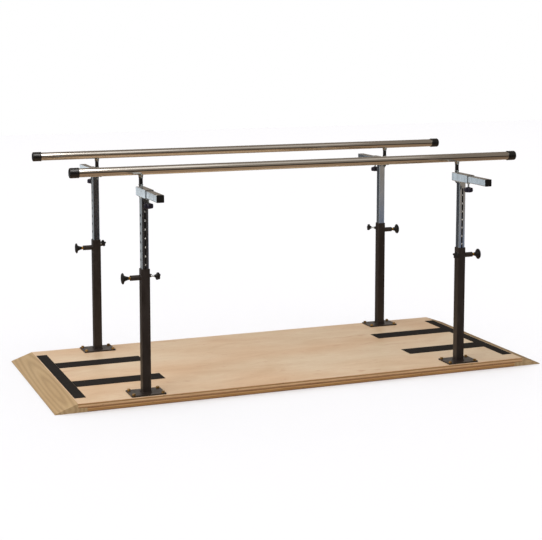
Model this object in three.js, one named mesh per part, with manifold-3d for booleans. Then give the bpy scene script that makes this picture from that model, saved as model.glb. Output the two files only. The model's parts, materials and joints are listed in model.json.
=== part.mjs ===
// Walking parallel bars for gait training, on a ramped platform.
// Millimetres, +Z up, +X along the walkway, front side at -Y, origin on the floor under the middle.

import * as THREE from 'three';
import { mergeVertices } from 'three/addons/utils/BufferGeometryUtils.js';
import Module from 'manifold-3d';

const wasm = await Module();
wasm.setup();

// Platform: two plies of board between two solid wood ramps
const topBoardLength = 2146;
const platformWidth = 965;
const topBoardThickness = 19.05;
const baseBoardThickness = 19.05;
const rampRun = 98.5;
const rampToeThickness = 3;
const rampTongueLength = 40;

// Grip tape: one strip across each end and two along the walking lanes
const tapeThickness = 1;
const tapeEndMargin = 4.5;
const crossTapeWidth = 50;
const crossTapeLength = 793;
const laneTapeWidth = 97;
const laneTapeLength = 455;
const laneTapeSpacing = 345;

// Posts: base plate, outer tube and the mast tube that slides in it
const postSpacingAlong = 1524;
const postSpacingAcross = 842;
const basePlateLength = 153;
const basePlateWidth = 107;
const basePlateThickness = 6;
const basePlateCornerRadius = 3;
const outerTubeHeight = 536;
const outerTubeWall = 2.875;
const weldLeg = 5;
const mastTubeSide = 31.75;
const mastTubeWall = 2;
const tubeCornerRadius = 3;
const slideGap = 0.3;
const mastExposed = 308;
const mastInserted = 224;

// Height holes in the mast, one pitch apart from the one at the plunger
const heightPitch = 38.1;
const heightStepsUp = 4;
const heightStepsDown = 7;
const heightHoleDiameter = 12.7;

// Base plate bolts: flanged hexagon heads on plain shanks
const boltInset = 12;
const boltShankDiameter = 8;
const boltShankLength = 38;
const boltFlangeDiameter = 16.5;
const boltFlangeThickness = 1.6;
const boltHeadFlats = 12.7;
const boltHeadHeight = 5.6;
const boltHoleGap = 0.4;

// Plunger: pin, stop collar and pull knob in a barrel on the outer tube
const plungerDrop = 37.5;
const barrelDiameter = 23;
const barrelLength = 45;
const pinDiameter = 11;
const pinGap = 0.3;
const stopCollarDiameter = 14;
const stopCollarLength = 7.5;
const pullNeckDiameter = 14;
const pullShoulderDiameter = 30;
const pullNeckLength = 20;
const pullDiscDiameter = 49;
const pullDiscThickness = 9.5;
const pullDiscCrown = 4;

// Corner screw: takes the shake out of the mast through the outer tube's corner
const cornerScrewDrop = 28;
const screwDiameter = 8;
const screwGap = 0.3;
const weldNutFlats = 13;
const weldNutStandout = 6;
const cornerScrewReach = 49;
const cornerHubLength = 9;
const cornerHubTipDiameter = 12;
const cornerHubDiameter = 20;
const cornerKnobDiameter = 33;
const cornerKnobThickness = 12;

// Sleeve on the mast and the width arm that slides in it
const sleeveInboardReach = 55;
const sleeveOutboardReach = 87;
const sleeveChamferAlong = 8;
const sleeveChamferUp = 9;
const armRecess = 4;
const armLength = 293;
const armTubeWall = 2;
const armCapThickness = 4;
const armPlugLength = 15;

// Arm clamp screw: bears on the arm from under the sleeve
const armScrewOffset = 68;
const armWeldNutHeight = 5;
const armScrewExposed = 14;
const armHubLength = 1.5;
const armKnobDiameter = 42;
const armKnobThickness = 22.5;

// Knob lobes, as shares of the knob's own size
const knobLobes = 5;
const cornerLobeDepthShare = 0.34;
const armLobeDepthShare = 0.3;
const lobeBevelShare = 0.12;

// Rail stud: bolt through the arm, with nut, collar and spacer
const studInset = 42;
const studDiameter = 9.5;
const studNutFlats = 15;
const studNutHeight = 9;
const studTail = 6;
const studCollarDiameter = 20.5;
const studCollarHeight = 14;
const spacerDiameter = 17;
const spacerHeight = 26;
const slotGap = 1;

// Handrail: tube with two welded cups, and slip-on end caps
const railDiameter = 38.1;
const railWall = 2;
const railLength = 2134;
const cupHeight = 13;
const cupFootDiameter = 19;
const cupRimDiameter = 22;
const cupSocketDepth = 9;
const railCapWall = 3;
const railCapLength = 40;
const railCapEnd = 3;
const railCapRound = 5;
const railCapGap = 0.3;

// Meshing: how round things are drawn, and one overrun for every cut
const tubeCornerSteps = 1;
const fastenerSides = 8;
const boreSides = 12;
const knobSides = 16;
const railSides = 24;
const railCapRoundSteps = 2;
const lobeSteps = 5;
const overrun = 5;
const mergeDistance = 0.0001;

// Levels and places that follow from the sizes above
const platformTop = baseBoardThickness + topBoardThickness;
const plateTop = platformTop + basePlateThickness;
const outerTubeSide = mastTubeSide + 2 * (slideGap + outerTubeWall);
const outerTubeTop = plateTop + outerTubeHeight;
const outerBoreSide = mastTubeSide + 2 * slideGap;
const outerBoreRadius = tubeCornerRadius + slideGap;
const plungerLevel = outerTubeTop - plungerDrop;
const cornerScrewLevel = outerTubeTop - cornerScrewDrop;
const mastBottom = outerTubeTop - mastInserted;
const sleeveBottom = outerTubeTop + mastExposed;
const armLevel = sleeveBottom + outerTubeSide / 2;
const armTop = armLevel + mastTubeSide / 2;
const armBottom = armLevel - mastTubeSide / 2;
const armInnerEnd = armRecess - sleeveInboardReach;
const armOuterEnd = armInnerEnd + armLength;
const armBoreSide = mastTubeSide - 2 * armTubeWall;
const spacerTop = armTop + studCollarHeight + spacerHeight;
const cupFoot = spacerTop + slideGap;
const railLevel = cupFoot + cupHeight + railDiameter / 2;
const railAcross = postSpacingAcross / 2 - studInset;
const barrelEnd = outerTubeSide / 2 + barrelLength;
const boltAlong = basePlateLength / 2 - boltInset;
const boltAcross = basePlateWidth / 2 - boltInset;

// Paint, metal, wood and plastic
const material = (color, roughness, metalness) => () =>
  new THREE.MeshStandardMaterial({ color, roughness, metalness });
const plywood = material(0xd8bc9c, 0.5, 0);
const plyCore = material(0xb08a5a, 0.7, 0);
const poplar = material(0xbba27a, 0.5, 0);
const gripTape = material(0x2c2b2b, 0.95, 0);
const powderCoat = material(0x332d2a, 0.45, 0.2);
const zincPlate = material(0xb4b8ba, 0.3, 1);
const yellowZinc = material(0xc09a4a, 0.35, 1);
const polishedSteel = material(0xc8c6c2, 0.12, 1);
const blackPlastic = material(0x111113, 0.4, 0);
const blackVinyl = material(0x161617, 0.45, 0);

// A closed geometry as a solid that can be cut and joined
function toSolid(geometry) {
  const bare = geometry.clone();
  bare.deleteAttribute('normal');
  bare.deleteAttribute('uv');
  const merged = mergeVertices(bare, mergeDistance);
  const corners = merged.index.array;
  const kept = [];
  for (let i = 0; i < corners.length; i += 3) {
    const [a, b, c] = [corners[i], corners[i + 1], corners[i + 2]];
    if (a !== b && b !== c && c !== a) kept.push(a, b, c);
  }
  return new wasm.Manifold(new wasm.Mesh({
    numProp: 3,
    vertProperties: merged.attributes.position.array,
    triVerts: Uint32Array.from(kept),
  }));
}

// A solid as the geometry of a named mesh
function toMesh(name, solid, finish) {
  const { vertProperties, triVerts } = solid.getMesh();
  const geometry = new THREE.BufferGeometry();
  geometry.setAttribute('position', new THREE.BufferAttribute(vertProperties, 3));
  geometry.setIndex(new THREE.BufferAttribute(triVerts, 1));
  geometry.computeVertexNormals();
  const mesh = new THREE.Mesh(geometry, finish());
  mesh.name = name;
  return mesh;
}

// A straight-sided block between two corners
function block(x0, x1, y0, y1, z0, z1) {
  const outline = new THREE.Shape();
  outline.moveTo(x0, y0).lineTo(x1, y0).lineTo(x1, y1).lineTo(x0, y1).closePath();
  const box = new THREE.ExtrudeGeometry(outline, { depth: z1 - z0, bevelEnabled: false });
  return toSolid(levelled(box.translate(0, 0, z0), z0, z1));
}

// Puts an extrusion's two faces exactly on their levels, so that stacked boards meet face to face
function levelled(geometry, low, high) {
  const position = geometry.attributes.position;
  const middle = (low + high) / 2;
  for (let i = 0; i < position.count; i += 1) {
    position.setZ(i, position.getZ(i) < middle ? low : high);
  }
  return geometry;
}

// A rectangle with round corners, centred on the axis
function roundRectangle(width, height, radius) {
  const x = width / 2 - radius;
  const y = height / 2 - radius;
  const outline = new THREE.Shape();
  outline.absarc(x, y, radius, 0, Math.PI / 2);
  outline.absarc(-x, y, radius, Math.PI / 2, Math.PI);
  outline.absarc(-x, -y, radius, Math.PI, 1.5 * Math.PI);
  outline.absarc(x, -y, radius, 1.5 * Math.PI, 2 * Math.PI);
  return outline.closePath();
}

// A bar of such a section along Z
function bar(width, height, radius, from, to) {
  const outline = roundRectangle(width, height, radius);
  const options = { depth: to - from, bevelEnabled: false, curveSegments: tubeCornerSteps };
  const extrusion = new THREE.ExtrudeGeometry(outline, options).translate(0, 0, from);
  return toSolid(levelled(extrusion, from, to));
}

const squareBar = (side, radius, from, to) => bar(side, side, radius, from, to);

// A round rod or a hexagon bar along Z
function rod(diameter, from, to, sides = boreSides) {
  const radius = diameter / 2;
  const cylinder = new THREE.CylinderGeometry(radius, radius, to - from, sides);
  return toSolid(cylinder.rotateX(Math.PI / 2).translate(0, 0, (from + to) / 2));
}

function hexagon(flats, from, to) {
  return rod(flats / Math.cos(Math.PI / 6), from, to, 6);
}

// A profile of [radius, height] pairs turned about Z
function turned(profile, sides) {
  const points = profile.map(([radius, height]) => new THREE.Vector2(radius, height));
  return toSolid(new THREE.LatheGeometry(points, sides).rotateX(Math.PI / 2));
}

// Turns a solid made along Z to another direction, and moves it
function aimed(solid, direction, place = [0, 0, 0]) {
  const turn = new THREE.Quaternion().setFromUnitVectors(new THREE.Vector3(0, 0, 1), direction);
  const matrix = new THREE.Matrix4().makeRotationFromQuaternion(turn).setPosition(...place);
  return solid.transform(matrix.elements);
}

const alongX = new THREE.Vector3(1, 0, 0);
const alongY = new THREE.Vector3(0, 1, 0);
const downwards = new THREE.Vector3(0, 0, -1);

// A clamp knob along Z: a tapered hub under a lobed grip, on its screw, with the screw's tip at 0
function clampScrew(sizes) {
  const { tipToHub, hubLength, hubTip, hubDiameter, diameter, thickness, lobeDepth } = sizes;
  const gripFrom = tipToHub + hubLength;
  const bevel = thickness * lobeBevelShare;
  const outline = new THREE.Shape();
  const steps = knobLobes * lobeSteps;
  for (let i = 0; i < steps; i += 1) {
    const turn = (i / steps) * 2 * Math.PI;
    const dip = (1 - Math.cos(turn * knobLobes)) / 2;
    const radius = (diameter / 2) * (1 - lobeDepth * dip * dip) - bevel;
    const point = [radius * Math.cos(turn), radius * Math.sin(turn)];
    if (i === 0) outline.moveTo(...point);
    else outline.lineTo(...point);
  }
  const grip = new THREE.ExtrudeGeometry(outline.closePath(), {
    depth: thickness - 2 * bevel,
    bevelThickness: bevel,
    bevelSize: bevel,
    bevelSegments: 1,
  });
  const hub = turned([
    [0, tipToHub],
    [hubTip / 2, tipToHub],
    [hubDiameter / 2, gripFrom],
    [hubDiameter / 2, gripFrom + bevel],
    [0, gripFrom + bevel],
  ], knobSides);
  return rod(screwDiameter, 0, tipToHub + hubLength)
    .add(hub)
    .add(toSolid(grip.translate(0, 0, gripFrom + bevel)));
}

// Platform boards, with a hole for each base plate bolt
const cornerSigns = [[-1, -1], [1, -1], [-1, 1], [1, 1]];
const boltHoleDiameter = boltShankDiameter + 2 * boltHoleGap;
const boltTip = plateTop - boltShankLength;

function boltPlaces() {
  const places = [];
  for (const [sx, sy] of cornerSigns) {
    for (const [bx, by] of cornerSigns) {
      const x = sx * postSpacingAlong / 2 + bx * boltAlong;
      const y = sy * postSpacingAcross / 2 + by * boltAcross;
      places.push([x, y]);
    }
  }
  return places;
}

function drilled(board) {
  let solid = board;
  for (const [x, y] of boltPlaces()) {
    const drill = rod(boltHoleDiameter, boltTip - boltHoleGap, plateTop + overrun, fastenerSides);
    solid = solid.subtract(drill.translate([x, y, 0]));
  }
  return solid;
}

const halfTop = topBoardLength / 2;
const halfBase = halfTop - rampTongueLength;
const halfWidth = platformWidth / 2;
const halfFloor = halfTop + rampRun;

function topBoard() {
  const board = block(-halfTop, halfTop, -halfWidth, halfWidth, baseBoardThickness, platformTop);
  return toMesh('deck_top', drilled(board), plywood);
}

function baseBoard() {
  const board = block(-halfBase, halfBase, -halfWidth, halfWidth, 0, baseBoardThickness);
  return toMesh('deck_base', drilled(board), plyCore);
}

// One ramp board: a tongue under the top board, then the slope down to the toe
function rampBoard(name, side) {
  const outline = new THREE.Shape();
  outline.moveTo(side * halfBase, 0);
  outline.lineTo(side * halfFloor, 0);
  outline.lineTo(side * halfFloor, rampToeThickness);
  outline.lineTo(side * halfTop, platformTop);
  outline.lineTo(side * halfTop, baseBoardThickness);
  outline.lineTo(side * halfBase, baseBoardThickness);
  const options = { depth: platformWidth, bevelEnabled: false };
  const board = new THREE.ExtrudeGeometry(outline.closePath(), options)
    .rotateX(Math.PI / 2).translate(0, halfWidth, 0);
  return toMesh(name, toSolid(board), poplar);
}

// Grip tape at one end: the cross strip and the two lane strips that run in from it
function endTape(name, side) {
  const outer = halfTop - tapeEndMargin;
  const top = platformTop + tapeThickness;
  const strip = (length, y0, y1) => {
    const [x0, x1] = [side * outer, side * (outer - length)].sort((a, b) => a - b);
    return block(x0, x1, y0, y1, platformTop, top);
  };
  let tape = strip(crossTapeWidth, -crossTapeLength / 2, crossTapeLength / 2);
  for (const lane of [-1, 1]) {
    const middle = lane * laneTapeSpacing / 2;
    tape = tape.add(strip(laneTapeLength, middle - laneTapeWidth / 2, middle + laneTapeWidth / 2));
  }
  return toMesh(name, tape, gripTape);
}

// The pieces at one post stand in a frame whose +Y points away from the walkway.
// hand is +1 where the plunger is on the +X side of that frame, and -1 where it is on the -X side.

const cornerDirection = (hand) => new THREE.Vector3(-hand, 1, 0).normalize();

// Post: base plate, outer tube, plunger barrel and corner weld nut, welded together
function post(name, hand) {
  const plate = bar(basePlateLength, basePlateWidth, basePlateCornerRadius, platformTop, plateTop);
  const foot = plateTop - basePlateThickness / 2;
  const tube = squareBar(outerTubeSide, tubeCornerRadius, foot, outerTubeTop);
  const beadWidth = (outerTubeSide + 2 * weldLeg) * Math.SQRT1_2;
  const beadTop = outerTubeSide * Math.SQRT1_2;
  const bead = new THREE.CylinderGeometry(beadTop, beadWidth, weldLeg, 4)
    .rotateX(Math.PI / 2).rotateZ(Math.PI / 4).translate(0, 0, plateTop + weldLeg / 2);
  const tubeFace = outerTubeSide / 2;
  const barrelDirection = alongX.clone().multiplyScalar(hand);
  const barrel = rod(barrelDiameter, tubeFace - outerTubeWall / 2, barrelEnd, knobSides);
  const pinBore = rod(pinDiameter + 2 * pinGap, 0, barrelEnd + overrun);
  const tubeCorner = tubeFace * Math.SQRT2 - tubeCornerRadius * (Math.SQRT2 - 1);
  const nut = hexagon(weldNutFlats, tubeCorner - outerTubeWall, tubeCorner + weldNutStandout);
  const nutHole = rod(screwDiameter + 2 * screwGap, 0, tubeCorner + weldNutStandout + overrun);
  let solid = plate.add(tube).add(toSolid(bead))
    .add(aimed(barrel, barrelDirection, [0, 0, plungerLevel]))
    .add(aimed(nut, cornerDirection(hand), [0, 0, cornerScrewLevel]))
    .subtract(squareBar(outerBoreSide, outerBoreRadius, plateTop, outerTubeTop + overrun))
    .subtract(aimed(pinBore, barrelDirection, [0, 0, plungerLevel]))
    .subtract(aimed(nutHole, cornerDirection(hand), [0, 0, cornerScrewLevel]));
  for (const [bx, by] of cornerSigns) {
    const hole = rod(boltHoleDiameter, platformTop - overrun, plateTop + overrun, fastenerSides);
    solid = solid.subtract(hole.translate([bx * boltAlong, by * boltAcross, 0]));
  }
  return toMesh(name, solid, powderCoat);
}

// Mast: the sliding tube with its row of height holes, and the sleeve welded on its top
function mast(name, hand) {
  const boreSide = mastTubeSide - 2 * mastTubeWall;
  const boreRadius = Math.max(tubeCornerRadius - mastTubeWall, slideGap);
  const tubeTop = sleeveBottom + outerTubeWall / 2;
  const tube = squareBar(mastTubeSide, tubeCornerRadius, mastBottom, tubeTop)
    .subtract(squareBar(boreSide, boreRadius, mastBottom - overrun, tubeTop + overrun));
  const sleeveFrom = -sleeveInboardReach;
  const sleeveTo = sleeveOutboardReach;
  const sleeveBore = squareBar(outerBoreSide, outerBoreRadius, sleeveFrom - overrun, sleeveTo + overrun);
  const sleeveTube = squareBar(outerTubeSide, tubeCornerRadius, sleeveFrom, sleeveTo).subtract(sleeveBore);
  const sleeve = aimed(sleeveTube, alongY, [0, 0, armLevel]);
  const nutBottom = sleeveBottom - armWeldNutHeight;
  const nut = hexagon(weldNutFlats, nutBottom, sleeveBottom + outerTubeWall / 2);
  const nutHole = rod(screwDiameter + 2 * screwGap, nutBottom - overrun, armLevel);
  const slotWidth = studCollarDiameter + 2 * slotGap;
  const slotLow = sleeveBottom - overrun;
  const slotHigh = sleeveBottom + outerTubeSide + overrun;
  const slot = block(-slotWidth / 2, slotWidth / 2, sleeveFrom - overrun, -studInset, slotLow, slotHigh)
    .add(rod(slotWidth, slotLow, slotHigh, knobSides).translate([0, -studInset, 0]));
  const heel = new THREE.Shape();
  heel.moveTo(sleeveFrom - overrun, sleeveBottom - overrun);
  heel.lineTo(sleeveFrom + sleeveChamferAlong, sleeveBottom - overrun);
  heel.lineTo(sleeveFrom + sleeveChamferAlong, sleeveBottom);
  heel.lineTo(sleeveFrom, sleeveBottom + sleeveChamferUp);
  heel.lineTo(sleeveFrom - overrun, sleeveBottom + sleeveChamferUp);
  const heelDepth = outerTubeSide + 2 * overrun;
  const heelCut = new THREE.ExtrudeGeometry(heel.closePath(), { depth: heelDepth, bevelEnabled: false })
    .rotateX(Math.PI / 2).rotateZ(Math.PI / 2).translate(-heelDepth / 2, 0, 0);
  let solid = tube.add(sleeve)
    .add(nut.translate([0, armScrewOffset, 0]))
    .subtract(nutHole.translate([0, armScrewOffset, 0]))
    .subtract(slot)
    .subtract(toSolid(heelCut));
  const wallMiddle = mastTubeSide / 2 - mastTubeWall / 2;
  const drill = aimed(
    rod(heightHoleDiameter, wallMiddle - mastTubeWall, wallMiddle + mastTubeWall, fastenerSides),
    alongX.clone().multiplyScalar(hand),
  );
  for (let step = -heightStepsUp; step <= heightStepsDown; step += 1) {
    solid = solid.subtract(drill.translate([0, 0, plungerLevel + step * heightPitch]));
  }
  return toMesh(name, solid, zincPlate);
}

// Width arm: the tube in the sleeve, with a hole through it for the rail stud
function arm(name) {
  const boreRadius = Math.max(tubeCornerRadius - armTubeWall, slideGap);
  const tube = squareBar(mastTubeSide, tubeCornerRadius, armInnerEnd, armOuterEnd)
    .subtract(squareBar(armBoreSide, boreRadius, armInnerEnd - overrun, armOuterEnd + overrun));
  const hole = rod(studDiameter + 2 * screwGap, armBottom - overrun, armTop + overrun);
  const solid = aimed(tube, alongY, [0, 0, armLevel]).subtract(hole.translate([0, -studInset, 0]));
  return toMesh(name, solid, zincPlate);
}

// Arm cap: a square plug with a flange over the arm's outer end
function armCap(name) {
  const plugSide = armBoreSide - 2 * slideGap;
  const flangeTo = armOuterEnd + armCapThickness;
  const flange = squareBar(mastTubeSide, tubeCornerRadius, armOuterEnd, flangeTo);
  const plugFrom = armOuterEnd - armPlugLength;
  const plug = squareBar(plugSide, tubeCornerRadius / 2, plugFrom, flangeTo - armCapThickness / 2);
  return toMesh(name, aimed(flange.add(plug), alongY, [0, 0, armLevel]), blackPlastic);
}

// Rail stud: the bolt through the arm, its nut below, and the collar and spacer above
function railStud(name) {
  const nutBottom = armBottom - studNutHeight;
  const top = cupFoot + cupSocketDepth - slideGap;
  const solid = rod(studDiameter, nutBottom - studTail, top)
    .add(hexagon(studNutFlats, nutBottom, armBottom))
    .add(rod(studCollarDiameter, armTop, armTop + studCollarHeight, knobSides))
    .add(rod(spacerDiameter, armTop + studCollarHeight, spacerTop, knobSides));
  return toMesh(name, solid.translate([0, -studInset, 0]), zincPlate);
}

// Plunger: pin, stop collar and mushroom pull knob, turned about the barrel's axis
function plunger(name, hand) {
  const pinTip = mastTubeSide / 2 + pinGap;
  const collarFrom = barrelEnd + pinGap;
  const neckFrom = collarFrom + stopCollarLength;
  const discFrom = neckFrom + pullNeckLength;
  const discTo = discFrom + pullDiscThickness;
  const profile = [
    [0, pinTip],
    [pinDiameter / 2, pinTip],
    [pinDiameter / 2, collarFrom],
    [stopCollarDiameter / 2, collarFrom],
    [stopCollarDiameter / 2, neckFrom],
    [pullNeckDiameter / 2, neckFrom],
    [pullShoulderDiameter / 2, discFrom],
    [pullDiscDiameter / 2 - pullDiscCrown / 2, discFrom + pullDiscCrown / 2],
    [pullDiscDiameter / 2, discFrom + pullDiscCrown],
    [pullDiscDiameter / 2 - pullDiscCrown, discTo - pullDiscCrown / 2],
    [pullDiscDiameter / 4, discTo],
    [0, discTo],
  ];
  const direction = alongX.clone().multiplyScalar(hand);
  return toMesh(name, aimed(turned(profile, knobSides), direction, [0, 0, plungerLevel]), blackPlastic);
}

// Corner screw: its tip stands just off the mast's corner
function cornerScrew(name, hand) {
  const tip = (mastTubeSide / 2) * Math.SQRT2 - tubeCornerRadius * (Math.SQRT2 - 1) + screwGap;
  const solid = clampScrew({
    tipToHub: cornerScrewReach - tip,
    hubLength: cornerHubLength,
    hubTip: cornerHubTipDiameter,
    hubDiameter: cornerHubDiameter,
    diameter: cornerKnobDiameter,
    thickness: cornerKnobThickness,
    lobeDepth: cornerLobeDepthShare,
  });
  const direction = cornerDirection(hand);
  const place = [direction.x * tip, direction.y * tip, cornerScrewLevel];
  return toMesh(name, aimed(solid, direction, place), blackPlastic);
}

// Arm clamp screw: its tip stands just under the arm
function armScrew(name) {
  const tip = armBottom - screwGap;
  const solid = clampScrew({
    tipToHub: tip - (sleeveBottom - armWeldNutHeight - armScrewExposed),
    hubLength: armHubLength,
    hubTip: cornerHubDiameter,
    hubDiameter: cornerHubDiameter,
    diameter: armKnobDiameter,
    thickness: armKnobThickness,
    lobeDepth: armLobeDepthShare,
  });
  return toMesh(name, aimed(solid, downwards, [0, armScrewOffset, tip]), blackPlastic);
}

// Base plate bolt, with its flange on the plate and its tip in the base board
function plateBolt(name) {
  const flangeTop = plateTop + boltFlangeThickness;
  const solid = rod(boltShankDiameter, boltTip, flangeTop, fastenerSides)
    .add(rod(boltFlangeDiameter, plateTop, flangeTop))
    .add(hexagon(boltHeadFlats, flangeTop - boltFlangeThickness / 2, flangeTop + boltHeadHeight));
  return toMesh(name, solid, yellowZinc);
}

// Handrail: the tube along X, with a cup under it for each rail stud
function handrail(name) {
  const tube = rod(railDiameter, -railLength / 2, railLength / 2, railSides)
    .subtract(rod(railDiameter - 2 * railWall, -railLength, railLength, railSides));
  const core = rod(railDiameter - railWall, -railLength, railLength, railSides);
  const cup = turned([
    [0, cupFoot],
    [cupFootDiameter / 2, cupFoot],
    [cupRimDiameter / 2, cupFoot + cupHeight],
    [cupRimDiameter / 2, railLevel],
    [0, railLevel],
  ], knobSides)
    .subtract(aimed(core, alongX, [0, 0, railLevel]));
  const socket = rod(studDiameter + 2 * screwGap, cupFoot - overrun, cupFoot + cupSocketDepth);
  let solid = aimed(tube, alongX, [0, 0, railLevel]);
  for (const side of [-1, 1]) {
    const place = [side * postSpacingAlong / 2, 0, 0];
    solid = solid.add(cup.translate(place)).subtract(socket.translate(place));
  }
  return toMesh(name, solid, polishedSteel);
}

// Rail cap: a soft sleeve with a round-edged end, slipped over the tube's end
function railCap(name, side) {
  const boreRadius = railDiameter / 2 + railCapGap;
  const radius = boreRadius + railCapWall;
  const boreDepth = railCapLength - railCapEnd;
  const edge = [];
  for (let i = 0; i <= railCapRoundSteps; i += 1) {
    const angle = (i / railCapRoundSteps) * Math.PI / 2;
    const inset = railCapRound * (1 - Math.cos(angle));
    edge.push([radius - inset, railCapLength - railCapRound + railCapRound * Math.sin(angle)]);
  }
  const profile = [[boreRadius, boreDepth], [boreRadius, 0], [radius, 0], ...edge, [0, railCapLength]];
  const solid = turned([[0, boreDepth], ...profile], railSides);
  const tubeEnd = railLength / 2 + railCapGap;
  const place = [side * (tubeEnd - boreDepth), 0, railLevel];
  return toMesh(name, aimed(solid, alongX.clone().multiplyScalar(side), place), blackVinyl);
}

// The whole: platform, four posts with what they carry, and two handrails
const bars = new THREE.Group();
bars.name = 'walking_parallel_bars';
bars.add(topBoard(), baseBoard());
for (const [end, side] of [['left', -1], ['right', 1]]) {
  bars.add(rampBoard(`ramp_${end}`, side), endTape(`grip_tape_${end}`, side));
}
for (const [sx, sy] of cornerSigns) {
  const where = `${sy < 0 ? 'front' : 'rear'}_${sx < 0 ? 'left' : 'right'}`;
  const hand = sx * sy;
  const corner = new THREE.Group();
  corner.position.set(sx * postSpacingAlong / 2, sy * postSpacingAcross / 2, 0);
  corner.rotation.z = sy < 0 ? Math.PI : 0;
  corner.add(
    post(`post_${where}`, hand),
    mast(`mast_${where}`, hand),
    arm(`arm_${where}`),
    armCap(`arm_cap_${where}`),
    railStud(`rail_stud_${where}`),
    plunger(`plunger_${where}`, hand),
    cornerScrew(`corner_screw_${where}`, hand),
    armScrew(`arm_screw_${where}`),
  );
  for (const [index, [bx, by]] of cornerSigns.entries()) {
    const bolt = plateBolt(`plate_bolt_${where}_${index + 1}`);
    bolt.position.set(bx * boltAlong, by * boltAcross, 0);
    corner.add(bolt);
  }
  bars.add(corner);
}
for (const [row, sy] of [['front', -1], ['rear', 1]]) {
  const rail = new THREE.Group();
  rail.position.y = sy * railAcross;
  rail.add(handrail(`handrail_${row}`));
  for (const [end, side] of [['left', -1], ['right', 1]]) {
    rail.add(railCap(`rail_cap_${row}_${end}`, side));
  }
  bars.add(rail);
}

export default bars;
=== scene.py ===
"""Walking parallel bars on a ramped plywood platform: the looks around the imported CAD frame.

Pieces are modelled in millimetres, those of a post about the post's own axis at the rear right corner,
and are then set in metres at each corner of the walkway.
"""

import json
import math

import bmesh
import bpy
from mathutils import Matrix, Vector

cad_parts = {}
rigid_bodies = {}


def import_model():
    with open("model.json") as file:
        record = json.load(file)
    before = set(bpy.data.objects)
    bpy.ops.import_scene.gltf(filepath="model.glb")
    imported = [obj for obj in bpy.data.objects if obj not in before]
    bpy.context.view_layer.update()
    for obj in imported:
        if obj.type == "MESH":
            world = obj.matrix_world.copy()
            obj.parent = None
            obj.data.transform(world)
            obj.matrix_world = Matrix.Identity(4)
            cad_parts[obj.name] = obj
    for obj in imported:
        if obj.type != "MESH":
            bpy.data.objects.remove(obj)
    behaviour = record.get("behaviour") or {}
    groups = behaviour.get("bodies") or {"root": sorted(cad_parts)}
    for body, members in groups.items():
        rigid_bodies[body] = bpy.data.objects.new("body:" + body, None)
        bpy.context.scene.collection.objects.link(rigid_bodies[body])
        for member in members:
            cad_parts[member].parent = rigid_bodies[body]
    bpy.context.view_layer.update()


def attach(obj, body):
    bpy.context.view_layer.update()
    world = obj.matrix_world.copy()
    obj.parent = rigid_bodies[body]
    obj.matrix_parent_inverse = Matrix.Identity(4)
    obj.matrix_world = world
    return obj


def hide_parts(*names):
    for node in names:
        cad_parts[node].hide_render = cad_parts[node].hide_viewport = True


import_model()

MM = 0.001
CORNERS = {
    "front_left": (-1, -1),
    "front_right": (1, -1),
    "rear_left": (-1, 1),
    "rear_right": (1, 1),
}
ENDS = {"left": -1, "right": 1}

# Sides of round pieces, more where they show large
hexagon = 6
small_sides = 24
hub_sides = 40
collar_sides = 48
knob_sides = 64
rail_sides = 96

# Edges, and how far a cutter runs past what it cuts
fine_edge = 0.3
tube_edge = 0.35
small_edge = 0.4
corner_segments = 4
cut_overrun = 5
# Pieces that are welded or fused reach this far into each other
overlap = 1
# A direction lies along an axis above this cosine
aligned = 0.9

# Platform
top_board_length = 2146
platform_width = 965
board_thickness = 19.05
platform_top = 2 * board_thickness
ramp_run = 98.5
ramp_toe = 3
ramp_tongue = 40
board_edge_round = 0.7

# Grip tape
tape_thickness = 1
tape_end_margin = 4.5
cross_tape_width = 50
cross_tape_length = 793
lane_tape_width = 97
lane_tape_length = 455
lane_tape_spacing = 345
tape_seam = 0.8

# Posts and masts
post_spacing_along = 1524
post_spacing_across = 842
plate_length = 153
plate_width = 107
plate_thickness = 6
plate_top = platform_top + plate_thickness
tube_corner = 3
outer_tube = 38.1
outer_wall = 2.875
outer_tube_top = plate_top + 536
plate_corner = 3
plate_edge = 0.6
weld_leg = 5
weld_rise = 1
weld_corner = 2
barrel_weld_leg = 3
nut_weld_leg = 2.6
sleeve_weld_leg = 3
clamp_nut_weld_leg = 2.4
weld_step = 1.3
weld_waist_share = 0.86
mast_tube = 31.75
mast_wall = 2
mast_edge = 0.2
mast_bottom = outer_tube_top - 224
sleeve_bottom = outer_tube_top + 308
height_pitch = 38.1
steps_up = 4
steps_down = 7
height_hole = 12.7
height_hole_from = 10
height_hole_to = 20

# Height scale on the mast's outward face
scale_width = 8.5
scale_top = sleeve_bottom - 30
scale_film = 0.1
numeral_height = 7
numeral_weight = 0.35
numeral_offset = 17
ink = 0.05
capital_share = 0.72

# Plunger
plunger_level = outer_tube_top - 37.5
barrel = 23
barrel_end = outer_tube / 2 + 45
pin = 11
gap = 0.3
pin_bore = pin + 2 * gap
ring = 14
ring_length = 7.5
pull_neck = 14
pull_shoulder = 30
pull_neck_length = 20
pull_disc = 49
pull_disc_thickness = 9.5

# Corner screw
corner_screw_level = outer_tube_top - 28
screw = 8
screw_bore = screw + 2 * gap
weld_nut = 13
corner_of_tube = outer_tube / 2 * math.sqrt(2) - tube_corner * (math.sqrt(2) - 1)
corner_of_mast = mast_tube / 2 * math.sqrt(2) - tube_corner * (math.sqrt(2) - 1)
weld_nut_end = corner_of_tube + 6
corner_hub_start = 49
corner_hub_length = 9
corner_hub_tip = 12
corner_hub = 20
corner_knob = 33
corner_knob_thickness = 12
corner_knob_dip = 0.53

# Sleeve and arm
arm_level = sleeve_bottom + outer_tube / 2
arm_bottom = arm_level - mast_tube / 2
arm_top = arm_level + mast_tube / 2
sleeve_inboard = -55
sleeve_outboard = 87
heel_along = 8
heel_up = 9
heel_block = 30
arm_inner_end = sleeve_inboard + 4
arm_outer_end = arm_inner_end + 293
arm_cap_thickness = 4
arm_cap_round = 1.6
arm_plug_depth = 15

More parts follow.
